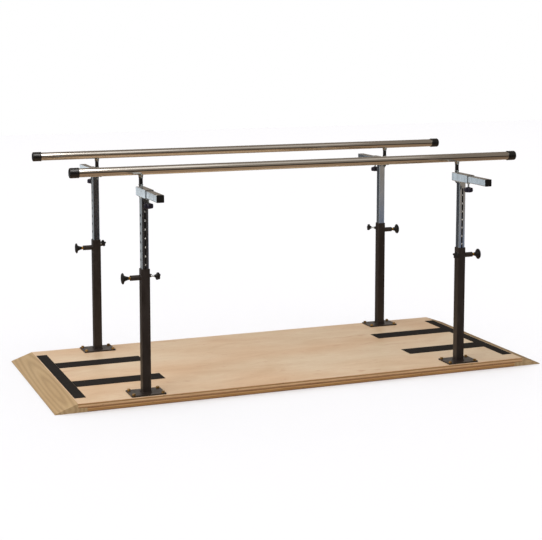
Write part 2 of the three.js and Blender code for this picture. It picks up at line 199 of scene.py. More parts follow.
# Arm clamp screw
arm_screw_offset = 68
arm_nut_bottom = sleeve_bottom - 5
arm_hub_start = arm_nut_bottom - 14
arm_hub_length = 1.5
arm_knob = 42
arm_knob_thickness = 22.5
arm_knob_dip = 0.58

# Rail stud
stud_inset = -42
stud = 9.5
stud_nut = 15
stud_nut_height = 9
stud_tail = 6
collar = 20.5
collar_height = 14
spacer = 17
spacer_top = arm_top + collar_height + 26

# Handrail and its caps
rail = 38.1
rail_wall = 2
rail_length = 2134
cup_foot = spacer_top + gap
cup_height = 13
cup_socket = 9
cup_foot_width = 19
cup_rim = 22
rail_level = cup_foot + cup_height + rail / 2
rail_across = post_spacing_across / 2 + stud_inset
rail_cap = 44.7
rail_cap_length = 40
rail_cap_end = 3
rail_cap_round = 5

# Base plate bolts
bolt_along = plate_length / 2 - 12
bolt_across = plate_width / 2 - 12
bolt_flange = 16.5
bolt_flange_thickness = 1.6
bolt_flats = 12.7
bolt_head_height = 5.6
bolt_chamfer_share = 0.93
bolt_chamfer_height = 5
bolt_shank = 8
bolt_shank_length = 38


# Modelling by hand


def alone(piece):
    bpy.ops.object.select_all(action="DESELECT")
    bpy.context.view_layer.objects.active = piece
    piece.select_set(True)
    return piece


def fresh(name):
    """The primitive just added, named, with its place and size in its mesh."""
    piece = bpy.context.object
    piece.name = piece.data.name = name
    bpy.ops.object.transform_apply(location=True, rotation=True, scale=True)
    return piece


def block(name, low, high):
    low, high = Vector(low), Vector(high)
    bpy.ops.object.select_all(action="DESELECT")
    bpy.ops.mesh.primitive_cube_add(size=1, location=(low + high) / 2, scale=high - low)
    return fresh(name)


def rod(name, diameter, start, end, sides=32):
    """A round bar between two points, or a hexagon one with six sides."""
    start, end = Vector(start), Vector(end)
    bpy.ops.object.select_all(action="DESELECT")
    bpy.ops.mesh.primitive_cylinder_add(
        vertices=sides,
        radius=diameter / 2,
        depth=(end - start).length,
        location=(start + end) / 2,
        rotation=(end - start).to_track_quat("Z", "Y").to_euler(),
    )
    return fresh(name)


def across_flats(flats):
    """The corner diameter of a hexagon that measures this across its flats."""
    return flats / math.cos(math.pi / 6)


def pick(piece, kind, chosen):
    """Goes into edit mode with the points, edges or faces selected whose place and direction are chosen."""
    alone(piece)
    bpy.ops.object.mode_set(mode="EDIT")
    bpy.ops.mesh.select_mode(type=kind)
    bpy.ops.mesh.select_all(action="DESELECT")
    mesh = bmesh.from_edit_mesh(piece.data)
    if kind == "VERT":
        found = [(v, v.co, v.normal) for v in mesh.verts]
    elif kind == "FACE":
        found = [(f, f.calc_center_median(), f.normal) for f in mesh.faces]
    else:
        found = [
            (e, (e.verts[0].co + e.verts[1].co) / 2, (e.verts[1].co - e.verts[0].co).normalized())
            for e in mesh.edges
        ]
    for item, centre, direction in found:
        if chosen(centre, direction):
            item.select_set(True)
    bmesh.update_edit_mesh(piece.data)


def leave():
    bpy.ops.object.mode_set(mode="OBJECT")


def modify(piece, kind, **settings):
    """Adds a modifier and applies it."""
    alone(piece)
    modifier = piece.modifiers.new(kind.lower(), kind)
    for name, value in settings.items():
        setattr(modifier, name, value)
    bpy.ops.object.modifier_apply(modifier=modifier.name)
    return piece


def cut(piece, *cutters):
    for cutter in cutters:
        modify(piece, "BOOLEAN", operation="DIFFERENCE", solver="EXACT", object=cutter)
        bpy.data.meshes.remove(cutter.data)
    return piece


def joined(name, *pieces):
    bpy.ops.object.select_all(action="DESELECT")
    for piece in pieces:
        piece.select_set(True)
    bpy.context.view_layer.objects.active = pieces[0]
    bpy.ops.object.join()
    pieces[0].name = pieces[0].data.name = name
    return pieces[0]


def eased(piece, width, segments=2, angle=40):
    """Rounds the sharp edges."""
    return modify(
        piece,
        "BEVEL",
        width=width,
        segments=segments,
        limit_method="ANGLE",
        angle_limit=math.radians(angle),
        miter_outer="MITER_ARC",
    )


def turned(name, profile, sides=32):
    """Turned about Z: a disc drawn up through pairs of diameter and height."""
    (width, height), *rest = profile
    bpy.ops.object.select_all(action="DESELECT")
    bpy.ops.mesh.primitive_circle_add(
        vertices=sides, radius=width / 2, fill_type="NGON", location=(0, 0, height)
    )
    piece = fresh(name)
    pick(piece, "FACE", lambda centre, normal: True)
    for next_width, next_height in rest:
        rise = (0, 0, next_height - height)
        bpy.ops.mesh.extrude_region_move(TRANSFORM_OT_translate={"value": rise})
        share = next_width / width
        bpy.ops.transform.resize(value=(share, share, 1), center_override=(0, 0, next_height))
        width, height = next_width, next_height
    bpy.ops.mesh.select_all(action="SELECT")
    bpy.ops.mesh.normals_make_consistent(inside=False)
    leave()
    return piece


def threaded(name, diameter, start, end, pitch=1.5):
    """A screw shank along Z, its thread drawn as broad ridges with shallow grooves."""
    root = diameter - pitch * 0.6
    ridge_from, ridge_to = 0.25, 0.85
    profile = [(root, start)]
    count = max(1, round((end - start) / pitch))
    step = (end - start) / count
    for i in range(count):
        foot = start + i * (end - start) / count
        profile += [(diameter, foot + step * ridge_from), (diameter, foot + step * ridge_to)]
        profile += [(root, foot + step)]
    return turned(name, profile, small_sides)


def square_tube(name, side, wall, low, high):
    """A square tube along Z with round corners."""
    half = side / 2
    piece = block(name, (-half, -half, low), (half, half, high))
    pick(piece, "EDGE", lambda centre, along: abs(along.z) > aligned)
    bpy.ops.mesh.bevel(offset=tube_corner, segments=corner_segments, affect="EDGES")
    leave()
    pick(piece, "FACE", lambda centre, normal: abs(normal.z) > aligned)
    bpy.ops.mesh.inset(thickness=wall)
    bpy.ops.mesh.bridge_edge_loops()
    leave()
    return piece


def aimed(piece, direction, place=(0, 0, 0)):
    """Turns a piece made along Z to another direction, and moves it."""
    turn = Vector(direction).to_track_quat("Z", "Y").to_matrix().to_4x4()
    piece.data.transform(Matrix.Translation(place) @ turn)
    return piece


def laid_across(piece):
    """Lays a tube made along Z across the walkway, at the arm's level."""
    piece.data.transform(Matrix.Translation((0, 0, arm_level)) @ Matrix.Rotation(-math.pi / 2, 4, "X"))
    return piece


def weld_round(name, points, leg):
    """A weld bead along a closed line of points, rippled by the torch's steps."""
    path = bpy.data.curves.new(name, "CURVE")
    path.dimensions = "3D"
    path.bevel_depth = leg / 2
    path.bevel_resolution = 2
    spline = path.splines.new("POLY")
    steps = []
    for i, point in enumerate(points):
        here, there = Vector(point), Vector(points[(i + 1) % len(points)])
        count = max(1, round((there - here).length / weld_step))
        steps += [here.lerp(there, k / count) for k in range(count)]
    spline.points.add(len(steps) - 1)
    for i, (point, step) in enumerate(zip(spline.points, steps)):
        point.co = (*step, 1)
        point.radius = 1 if i % 2 else weld_waist_share
    spline.use_cyclic_u = True
    piece = bpy.data.objects.new(name, path)
    bpy.context.scene.collection.objects.link(piece)
    alone(piece)
    bpy.ops.object.convert(target="MESH")
    return bpy.context.object


def circle_points(diameter, height, sides=24):
    turns = [2 * math.pi * i / sides for i in range(sides)]
    return [(diameter / 2 * math.cos(t), diameter / 2 * math.sin(t), height) for t in turns]


def square_points(side, height, corner):
    """Points round a square with cut corners."""
    half, short = side / 2, side / 2 - corner
    flat = [(half, -short), (half, short), (short, half), (-short, half)]
    flat += [(-half, short), (-half, -short), (-short, -half), (short, -half)]
    return [(x, y, height) for x, y in flat]


# Materials


def srgb(code):
    """An sRGB hex colour as linear light."""
    parts = [int(code[i : i + 2], 16) / 255 for i in (1, 3, 5)]
    return [p / 12.92 if p <= 0.04045 else ((p + 0.055) / 1.055) ** 2.4 for p in parts] + [1]


def add(tree, kind, inputs=(), stops=(), **settings):
    """Adds a node with its settings. Inputs are values or sockets that feed it, and stops are a ramp's."""
    node = tree.nodes.new(kind)
    for name, value in settings.items():
        setattr(node, name, value)
    for socket, value in dict(inputs).items():
        if isinstance(value, bpy.types.NodeSocket):
            tree.links.new(value, node.inputs[socket])
        else:
            node.inputs[socket].default_value = value
    for index, (place, colour) in enumerate(stops):
        elements = node.color_ramp.elements
        stop = elements[index] if index < 2 else elements.new(place)
        stop.position, stop.color = place, srgb(colour)
    return node.outputs


def new_material(name, finish, *colours):
    """A material whose finish is drawn on the piece's Object coordinates in millimetres."""
    made = bpy.data.materials.new(name)
    made.use_nodes = True
    tree = made.node_tree
    tree.nodes.clear()
    metres = add(tree, "ShaderNodeTexCoord")["Object"]
    place = add(tree, "ShaderNodeVectorMath", {0: metres, 1: (1 / MM,) * 3}, operation="MULTIPLY")[0]
    shader = add(tree, "ShaderNodeBsdfPrincipled", finish(tree, place, *colours))[0]
    add(tree, "ShaderNodeOutputMaterial", {"Surface": shader})
    return made


def per(*sizes):
    """The scale that makes one cell of a pattern this many millimetres along each axis."""
    return [1 / size for size in sizes]


MAPPING, NOISE, RAMP = "ShaderNodeMapping", "ShaderNodeTexNoise", "ShaderNodeValToRGB"
MIX, RANGE, MATH, BUMP = "ShaderNodeMix", "ShaderNodeMapRange", "ShaderNodeMath", "ShaderNodeBump"
MULTIPLY = {"data_type": "RGBA", "blend_type": "MULTIPLY"}


def plies_along_edge(tree, place, bottom, colours):
    """The plies in a board's thickness, long grain and end grain by turns, wandering a little, with streaks
    and dark spots where the core has an open void, painted shade inside the void. The real board's seven
    plies are drawn as five, so that they show."""
    level = add(tree, "ShaderNodeSeparateXYZ", {0: place})["Z"]
    long_cells = add(tree, MAPPING, {"Vector": place, "Scale": per(240, 240, 60)})[0]
    sway = add(tree, NOISE, {"Vector": long_cells, "Scale": 1, "Detail": 2})[0]
    swayed = add(tree, MATH, {0: sway, 1: 1.6, 2: level}, operation="MULTIPLY_ADD")[0]
    low = bottom + 0.8
    share = add(tree, RANGE, {"Value": swayed, "From Min": low, "From Max": low + board_thickness})[0]
    stops = []
    blend = 0.03
    for ply, colour in enumerate(colours):
        stops += [(ply / len(colours) + blend, colour), ((ply + 1) / len(colours) - blend, colour)]
    bands = add(tree, RAMP, {0: share}, stops)[0]
    streak_cells = add(tree, MAPPING, {"Vector": place, "Scale": per(90, 90, 1.6)})[0]
    streak = add(tree, NOISE, {"Vector": streak_cells, "Scale": 1, "Detail": 3, "Roughness": 0.6})[0]
    streaks = add(tree, RAMP, {0: streak}, [(0.3, "#c8b299"), (0.6, "#ffffff")])[0]
    bands = add(tree, MIX, {0: 0.7, 6: bands, 7: streaks}, **MULTIPLY)[2]
    # Dark spots where the core has an open void: painted shade inside the void
    void_cells = add(tree, MAPPING, {"Vector": place, "Scale": per(34, 34, 5)})[0]
    void = add(tree, NOISE, {"Vector": void_cells, "Scale": 1, "Detail": 1})[0]
    void_shade = add(tree, RAMP, {0: void}, [(0.22, "#4a3624"), (0.27, "#ffffff")])[0]
    return add(tree, MIX, {0: 0.85, 6: bands, 7: void_shade}, **MULTIPLY)[2]


def where_level(tree, face, edge):
    """The face veneer where a board looks up or down, and its plies elsewhere."""
    normal = add(tree, "ShaderNodeNewGeometry")["True Normal"]
    up = add(tree, "ShaderNodeSeparateXYZ", {0: normal})["Z"]
    steepness = add(tree, MATH, {0: up}, operation="ABSOLUTE")[0]
    level = add(tree, MATH, {0: steepness, 1: 0.7}, operation="GREATER_THAN")[0]
    return add(tree, MIX, {0: level, 6: edge, 7: face}, data_type="RGBA")[2]


def maple_veneer_plywood(tree, place):
    """Rotary-cut maple face under satin varnish: pale and slightly pink, softly flamed along the board, with
    short fibre flecks and a few rusty streaks, blurred reflections at a low angle, and plies at its edge, the
    lowest of them darker as painted shade in the seam between the boards."""
    flame_cells = add(tree, MAPPING, {"Vector": place, "Scale": per(330, 120, 120)})[0]
    flame_values = {"Vector": flame_cells, "Scale": 1, "Detail": 4, "Roughness": 0.55, "Distortion": 1.2}
    flame = add(tree, NOISE, flame_values)[0]
    face = add(tree, RAMP, {0: flame}, [(0.3, "#dcc6a9"), (0.5, "#e3d0b6"), (0.72, "#e9d9c1")])[0]
    broad_cells = add(tree, MAPPING, {"Vector": place, "Scale": per(700, 330, 330)})[0]
    broad = add(tree, NOISE, {"Vector": broad_cells, "Scale": 1, "Detail": 2})[0]
    tone = add(tree, RAMP, {0: broad}, [(0.35, "#f9ebe0"), (0.65, "#ffffff")])[0]
    face = add(tree, MIX, {0: 1, 6: face, 7: tone}, **MULTIPLY)[2]
    fibre_cells = add(tree, MAPPING, {"Vector": place, "Scale": per(34, 1.5, 1.5)})[0]
    fibre = add(tree, NOISE, {"Vector": fibre_cells, "Scale": 1, "Detail": 3, "Roughness": 0.6})[0]
    flecks = add(tree, RAMP, {0: fibre}, [(0.3, "#e8d8c4"), (0.55, "#ffffff")])[0]
    face = add(tree, MIX, {0: 0.5, 6: face, 7: flecks}, **MULTIPLY)[2]
    streak_cells = add(tree, MAPPING, {"Vector": place, "Scale": per(110, 34, 34)})[0]
    streak = add(tree, NOISE, {"Vector": streak_cells, "Scale": 1, "Detail": 2, "Distortion": 1.5})[0]
    stains = add(tree, RAMP, {0: streak}, [(0.24, "#cf9468"), (0.35, "#ffffff")])[0]
    face = add(tree, MIX, {0: 0.4, 6: face, 7: stains}, **MULTIPLY)[2]
    # The lowest ply is darker: painted shade in the seam between the two boards
    ply_colours_and_seam_shade = ["#9a7248", "#cda579", "#dcb88d", "#a58051", "#ba9062"]
    edge = plies_along_edge(tree, place, board_thickness, ply_colours_and_seam_shade)
    colour = where_level(tree, face, edge)
    bump = add(tree, BUMP, {"Height": fibre, "Strength": 0.4, "Distance": 0.04 * MM})[0]
    return {"Base Color": colour, "Roughness": 0.4, "IOR": 1.5, "Normal": bump}


def plain_plywood(tree, place):
    """The lower board, seen along its edges: golden brown softwood plies, darker where end grain shows, its
    top ply darker as painted shade in the seam under the top board.
    """
    # The top ply is darker: painted shade in the seam under the top board
    ply_colours_and_seam_shade = ["#8f683e", "#b68c59", "#ac8249", "#cfa26b", "#98704a"]
    edge = plies_along_edge(tree, place, 0, ply_colours_and_seam_shade)
    flame_cells = add(tree, MAPPING, {"Vector": place, "Scale": per(260, 50, 50)})[0]
    flame = add(tree, NOISE, {"Vector": flame_cells, "Scale": 1, "Detail": 3, "Distortion": 0.6})[0]
    face = add(tree, RAMP, {0: flame}, [(0.3, "#b98f5a"), (0.7, "#cfa972")])[0]
    colour = where_level(tree, face, edge)
    bump = add(tree, BUMP, {"Height": flame, "Strength": 0.3, "Distance": 0.1 * MM})[0]
    return {"Base Color": colour, "Roughness": 0.5, "IOR": 1.5, "Normal": bump}


def poplar(tree, place):
    """Solid plain-sawn poplar with its grain along the ramp: soft growth rings about 15 mm apart that run in
    long arches, in a slightly greenish tan, with fine fibres under satin varnish."""
    # The right ramp has the left one's grain, turned half round
    side = add(tree, "ShaderNodeSeparateXYZ", {0: place})["X"]
    end = add(tree, MATH, {0: side}, operation="SIGN")[0]
    turn = add(tree, MATH, {0: end, 1: -1}, operation="MULTIPLY")[0]
    turns = add(tree, "ShaderNodeCombineXYZ", {0: turn, 1: turn, 2: 1})[0]
    place = add(tree, "ShaderNodeVectorMath", {0: place, 1: turns}, operation="MULTIPLY")[0]
    # The arches close up about this place in the left ramp
    centre, cell = (-1108, -190, 15), (25, 420, 25)
    shift = [-middle / size for middle, size in zip(centre, cell)]
    ring_cells = add(tree, MAPPING, {"Vector": place, "Scale": per(*cell), "Location": shift})[0]
    ring_values = {"Vector": ring_cells, "Scale": 0.5, "Distortion": 1.6, "Detail": 2, "Detail Scale": 0.5}
    rings = add(tree, "ShaderNodeTexWave", ring_values, wave_type="RINGS", rings_direction="SPHERICAL")["Fac"]
    wood = add(tree, RAMP, {0: rings}, [(0.0, "#a88f69"), (0.5, "#b59c74"), (1.0, "#bba37c")])[0]
    fibre_cells = add(tree, MAPPING, {"Vector": place, "Scale": per(1.6, 60, 1.6)})[0]
    fibre = add(tree, NOISE, {"Vector": fibre_cells, "Scale": 1, "Detail": 3, "Roughness": 0.6})[0]
    fibres = add(tree, RAMP, {0: fibre}, [(0.3, "#dcc8ad"), (0.6, "#ffffff")])[0]
    wood = add(tree, MIX, {0: 0.4, 6: wood, 7: fibres}, **MULTIPLY)[2]
    broad_cells = add(tree, MAPPING, {"Vector": place, "Scale": per(70, 420, 70)})[0]
    broad = add(tree, NOISE, {"Vector": broad_cells, "Scale": 1, "Detail": 2})[0]
    tone = add(tree, RAMP, {0: broad}, [(0.35, "#e4d3b4"), (0.65, "#ffffff")])[0]
    wood = add(tree, MIX, {0: 0.25, 6: wood, 7: tone}, **MULTIPLY)[2]
    bump = add(tree, BUMP, {"Height": fibre, "Strength": 0.4, "Distance": 0.05 * MM})[0]
    return {"Base Color": wood, "Roughness": 0.38, "IOR": 1.5, "Normal": bump}


def gritted_tape(tree, place):
    """Anti-slip tape: black mineral grit in a matt film, coarse enough to break up the light, with paler
    scuffs from shoes. The grit of about 0.5 mm is drawn at 1.6 mm so that it shows."""
    grit = add(tree, NOISE, {"Vector": place, "Scale": 1 / 1.6, "Detail": 3, "Roughness": 0.7})[0]
    tone = add(tree, RAMP, {0: grit}, [(0.3, "#131212"), (0.6, "#1e1c1c"), (0.8, "#322f2e")])[0]
    scuff_cells = add(tree, MAPPING, {"Vector": place, "Scale": per(60, 30, 30)})[0]
    scuff = add(tree, NOISE, {"Vector": scuff_cells, "Scale": 1, "Detail": 3, "Roughness": 0.6})[0]
    scuffs = add(tree, RAMP, {0: scuff}, [(0.35, "#cfcac6"), (0.65, "#ffffff")])[0]
    tone = add(tree, MIX, {0: 0.6, 6: tone, 7: scuffs}, **MULTIPLY)[2]
    bump = add(tree, BUMP, {"Height": grit, "Strength": 0.8, "Distance": 0.6 * MM})[0]
    return {"Base Color": tone, "Roughness": 0.9, "IOR": 1.45, "Specular IOR Level": 0.35, "Normal": bump}


def bronze_powder_coat(tree, place):
    """Baked powder coat in dark bronze: near black with a warm cast, satin, with a fine orange peel of about
    1.8 mm and a gloss that varies a little from spot to spot."""
    cloud_cells = add(tree, MAPPING, {"Vector": place, "Scale": per(25, 25, 60)})[0]
    cloud = add(tree, NOISE, {"Vector": cloud_cells, "Scale": 1, "Detail": 3, "Roughness": 0.6})[0]
    tone = add(tree, RAMP, {0: cloud}, [(0.3, "#241d1a"), (0.7, "#2c2522")])[0]
    gloss_range = {"Value": cloud, "From Min": 0.3, "From Max": 0.7, "To Min": 0.34, "To Max": 0.46}
    gloss = add(tree, RANGE, gloss_range)[0]
    peel = add(tree, NOISE, {"Vector": place, "Scale": 1 / 1.8, "Detail": 2})[0]
    bump = add(tree, BUMP, {"Height": peel, "Strength": 0.5, "Distance": 0.12 * MM})[0]
    return {"Base Color": tone, "Roughness": gloss, "IOR": 1.5, "Normal": bump}


def bright_zinc(tree, place):
    """Bright zinc plate on drawn steel tube: bluish silver, softly clouded, a little glossier in some spots
    than others, with a faint grain of 1.2 mm left by the drawing."""
    cloud_cells = add(tree, MAPPING, {"Vector": place, "Scale": per(24, 24, 70)})[0]
    cloud = add(tree, NOISE, {"Vector": cloud_cells, "Scale": 1, "Detail": 3, "Roughness": 0.55})[0]
    tone = add(tree, RAMP, {0: cloud}, [(0.25, "#bfc3c5"), (0.5, "#c5cacd"), (0.75, "#cad0d4")])[0]
    gloss_range = {"Value": cloud, "From Min": 0.3, "From Max": 0.7, "To Min": 0.23, "To Max": 0.17}
    gloss = add(tree, RANGE, gloss_range)[0]
    grain = add(tree, NOISE, {"Vector": place, "Scale": 1 / 1.2, "Detail": 3, "Roughness": 0.6})[0]
    bump = add(tree, BUMP, {"Height": grain, "Strength": 0.3, "Distance": 0.01 * MM})[0]
    return {"Base Color": tone, "Metallic": 1, "Roughness": gloss, "Normal": bump}


def mill_scale(tree, place):
    """Painted shade for the inside of a drawn steel tube: dark grey like mill scale, dull, with rusty brown
    patches.
    """
    patch = add(tree, NOISE, {"Vector": place, "Scale": 1 / 12, "Detail": 3, "Roughness": 0.6})[0]
    tone = add(tree, RAMP, {0: patch}, [(0.35, "#1d1b1a"), (0.6, "#26211e"), (0.75, "#33261e")])[0]
    bump = add(tree, BUMP, {"Height": patch, "Strength": 0.4, "Distance": 0.1 * MM})[0]
    return {"Base Color": tone, "Roughness": 0.7, "IOR": 1.5, "Specular IOR Level": 0.3, "Normal": bump}


def polished_stainless(tree, place):
    """Polished stainless tube: mirror bright and very slightly warm, its shine a little streaked round the
    tube by the polishing wheel."""
    cloud_cells = add(tree, MAPPING, {"Vector": place, "Scale": per(160, 60, 60)})[0]
    cloud = add(tree, NOISE, {"Vector": cloud_cells, "Scale": 1, "Detail": 3})[0]
    tone = add(tree, RAMP, {0: cloud}, [(0.3, "#c3beb7"), (0.7, "#cdc9c2")])[0]
    wheel_cells = add(tree, MAPPING, {"Vector": place, "Scale": per(2.2, 300, 300)})[0]
    wheel = add(tree, NOISE, {"Vector": wheel_cells, "Scale": 1, "Detail": 3, "Roughness": 0.6})[0]
    gloss_range = {"Value": wheel, "From Min": 0.3, "From Max": 0.7, "To Min": 0.09, "To Max": 0.14}
    gloss = add(tree, RANGE, gloss_range)[0]
    bump = add(tree, BUMP, {"Height": wheel, "Strength": 0.2, "Distance": 0.01 * MM})[0]
    return {"Base Color": tone, "Metallic": 1, "Roughness": gloss, "Normal": bump}


def yellow_zinc(tree, place):
    """Yellow chromate on zinc: brassy gold that shifts to pale green and rose from spot to spot."""
    cloud = add(tree, NOISE, {"Vector": place, "Scale": 1 / 7, "Detail": 3, "Roughness": 0.6})[0]
    tone = add(tree, RAMP, {0: cloud}, [(0.3, "#9a7540"), (0.5, "#b89558"), (0.75, "#c4b184")])[0]
    bump = add(tree, BUMP, {"Height": cloud, "Strength": 0.3, "Distance": 0.1 * MM})[0]
    return {"Base Color": tone, "Metallic": 1, "Roughness": 0.34, "Normal": bump}


def turned_brass(tree, place):
    """Turned brass: warm yellow with the lathe's fine rings across its axis, drawn at 0.6 mm."""
    ring_cells = add(tree, MAPPING, {"Vector": place, "Scale": per(0.6, 90, 90)})[0]
    rings = add(tree, NOISE, {"Vector": ring_cells, "Scale": 1, "Detail": 2})[0]
    tone = add(tree, RAMP, {0: rings}, [(0.3, "#b58d3f"), (0.7, "#d8b263")])[0]
    bump = add(tree, BUMP, {"Height": rings, "Strength": 0.4, "Distance": 0.03 * MM})[0]
    return {"Base Color": tone, "Metallic": 1, "Roughness": 0.25, "Normal": bump}


def moulded_nylon(tree, place, dark, light):
    """Injection-moulded nylon: near black and satin, from a spark-eroded mould whose 0.8 mm grain just breaks
    up the highlights."""
    cloud = add(tree, NOISE, {"Vector": place, "Scale": 1 / 9, "Detail": 2})[0]
    tone = add(tree, RAMP, {0: cloud}, [(0.3, dark), (0.7, light)])[0]
    grain = add(tree, NOISE, {"Vector": place, "Scale": 1 / 0.8, "Detail": 2})[0]
    bump = add(tree, BUMP, {"Height": grain, "Strength": 0.5, "Distance": 0.04 * MM})[0]
    return {"Base Color": tone, "Roughness": 0.46, "IOR": 1.53, "Specular IOR Level": 0.35, "Normal": bump}


def dipped_vinyl(tree, place):
    """Plastisol vinyl: deep black with a wet gloss that draws the lamps as lines, slightly wavy
    from dipping."""
    wave_cells = add(tree, MAPPING, {"Vector": place, "Scale": per(14, 9, 9)})[0]
    wave = add(tree, NOISE, {"Vector": wave_cells, "Scale": 1, "Detail": 2})[0]
    tone = add(tree, RAMP, {0: wave}, [(0.3, "#0a0a0b"), (0.7, "#101011")])[0]
    bump = add(tree, BUMP, {"Height": wave, "Strength": 0.4, "Distance": 0.15 * MM})[0]
    return {"Base Color": tone, "Roughness": 0.24, "IOR": 1.5, "Normal": bump}


def printed_film(tree, place, dark, light):
    """Screen-printed film: flat and matt, with a slight unevenness in the ink."""
    patch = add(tree, NOISE, {"Vector": place, "Scale": 1 / 3, "Detail": 2})[0]
    tone = add(tree, RAMP, {0: patch}, [(0.3, dark), (0.7, light)])[0]
    return {"Base Color": tone, "Roughness": 0.55, "IOR": 1.45, "Specular IOR Level": 0.3}


MAPLE = new_material("satin_varnished_maple_plywood", maple_veneer_plywood)
PLAIN_PLY = new_material("varnished_softwood_plywood", plain_plywood)
POPLAR = new_material("satin_varnished_poplar", poplar)
GRIT = new_material("mineral_grit_anti_slip_tape", gritted_tape)
POWDER_COAT = new_material("dark_bronze_powder_coat", bronze_powder_coat)
ZINC = new_material("bright_zinc_plated_steel", bright_zinc)
# Painted shade: the dark film inside the masts
BORE_SHADE_FILM = new_material("dark_mill_scale_on_steel", mill_scale)
STAINLESS = new_material("polished_stainless_steel", polished_stainless)
YELLOW_ZINC = new_material("yellow_chromate_zinc", yellow_zinc)
BRASS = new_material("turned_brass", turned_brass)
BLACK_NYLON = new_material("moulded_black_nylon", moulded_nylon, "#0d0d0e", "#151517")
NAVY_NYLON = new_material("moulded_navy_black_nylon", moulded_nylon, "#14131f", "#232136")
VINYL = new_material("dip_moulded_black_vinyl", dipped_vinyl)
BLACK_FILM = new_material("black_scale_film", printed_film, "#121111", "#191717")
WHITE_INK = new_material("pale_grey_ink", printed_film, "#dedcd6", "#eae8e2")


# Setting pieces in place


def settle(piece, body, material, replaced=(), smooth=35):
    """Gives a finished piece its shading, material and body. It is in metres, in its place."""
    alone(piece)
    bpy.ops.object.shade_smooth_by_angle(angle=math.radians(smooth))
    modify(piece, "WEIGHTED_NORMAL", keep_sharp=True)
    piece.data.materials.clear()
    piece.data.materials.append(material)
    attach(piece, body)
    if replaced:
        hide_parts(*replaced)
    return piece


def in_metres(piece, place=(0, 0, 0), sx=1, sy=1):
    """Scales a piece to metres at a place, mirrored to its corner."""
    size = Matrix.Diagonal((sx * MM, sy * MM, MM, 1))
    piece.data.transform(Matrix.Translation(Vector(place) * MM) @ size)
    if sx * sy < 0:
        piece.data.flip_normals()
    return piece


def duplicate(piece, name):
    copy = bpy.data.objects.new(name, piece.data.copy())
    copy.data.name = name
    bpy.context.scene.collection.objects.link(copy)
    return copy


def at_corners(master, part, body, material, node=None):
    """Sets a copy of a piece at each post. The node's pattern takes the corner's name."""
    for corner, (sx, sy) in CORNERS.items():
        place = (sx * post_spacing_along / 2, sy * post_spacing_across / 2, 0)
        copy = in_metres(duplicate(master, f"{part}_{corner}"), place, sx, sy)
        replaced = [node.format(corner)] if node else []
        settle(copy, body[corner], material, replaced)
    bpy.data.meshes.remove(master.data)


def at_ends(master, part, material, node):
    """Sets a mirrored copy of a piece at each end of the platform."""
    for end, side in ENDS.items():
        piece = in_metres(duplicate(master, f"{part}_{end}"), sx=side)
        settle(piece, "platform", material, [f"{node}_{end}"])
    bpy.data.meshes.remove(master.data)


def same_body(pattern):
    return {corner: pattern.format(corner) for corner in CORNERS}


PLATFORM = same_body("platform")
MAST = same_body("{}_mast")
PLUNGER = same_body("{}_plunger")
CORNER_SCREW = same_body("{}_corner_screw")
ARM_SCREW = same_body("{}_arm_screw")
ARM = {
    "front_left": "front_rail",
    "front_right": "front_right_arm",
    "rear_left": "rear_rail",
    "rear_right": "rear_right_arm",
}


# Platform

half_top = top_board_length / 2
half_base = half_top - ramp_tongue
half_floor = half_top + ramp_run
half_width = platform_width / 2


def boards():
    """The maple board on its plain lower one."""
    for name, half, bottom, slot, wood, node in [
        ("top_board", half_top, board_thickness, "top_ply", MAPLE, "deck_top"),
        ("lower_board", half_base, 0, "base_ply", PLAIN_PLY, "deck_base"),
    ]:
        board = block(name, (-half, -half_width, bottom), (half, half_width, bottom + board_thickness))
        settle(in_metres(eased(board, board_edge_round)), "platform", wood, [node])


def ramp_boards():
    """A solid board, its top planed to the slope and its inner end rebated to go under the top board."""
    wedge = block("ramp", (half_base, -half_width, 0), (half_floor, half_width, platform_top))
    pick(wedge, "FACE", lambda centre, normal: True)
    slope = Vector((platform_top - ramp_toe, 0, ramp_run)).normalized()
    shoulder = (half_top, 0, platform_top)
    bpy.ops.mesh.bisect(plane_co=shoulder, plane_no=slope, use_fill=True, clear_outer=True)
    leave()
    overrun = 2 * cut_overrun
    low = (half_base - overrun, -half_width - overrun, board_thickness)
    rebate = block("rebate", low, (half_top, half_width + overrun, platform_top + overrun))
    eased(cut(wedge, rebate), board_edge_round)
    at_ends(wedge, "ramp_board", POPLAR, "ramp")


def grip_tapes():
    """A strip across each end of the platform, and one along each walking lane."""
    outer = half_top - tape_end_margin
    top = platform_top + tape_thickness
    inner = outer - cross_tape_width
    low = (inner, -cross_tape_length / 2, platform_top)
    strips = [block("cross_strip", low, (outer, cross_tape_length / 2, top))]
    for lane in (-1, 1):
        middle = lane * lane_tape_spacing / 2
        low = (outer - lane_tape_length, middle - lane_tape_width / 2, platform_top)
        high = (inner - tape_seam, middle + lane_tape_width / 2, top)
        strips.append(block("lane_strip", low, high))
    tape = eased(joined("tape", *strips), fine_edge)
    at_ends(tape, "anti_slip_tape", GRIT, "grip_tape")


# Posts


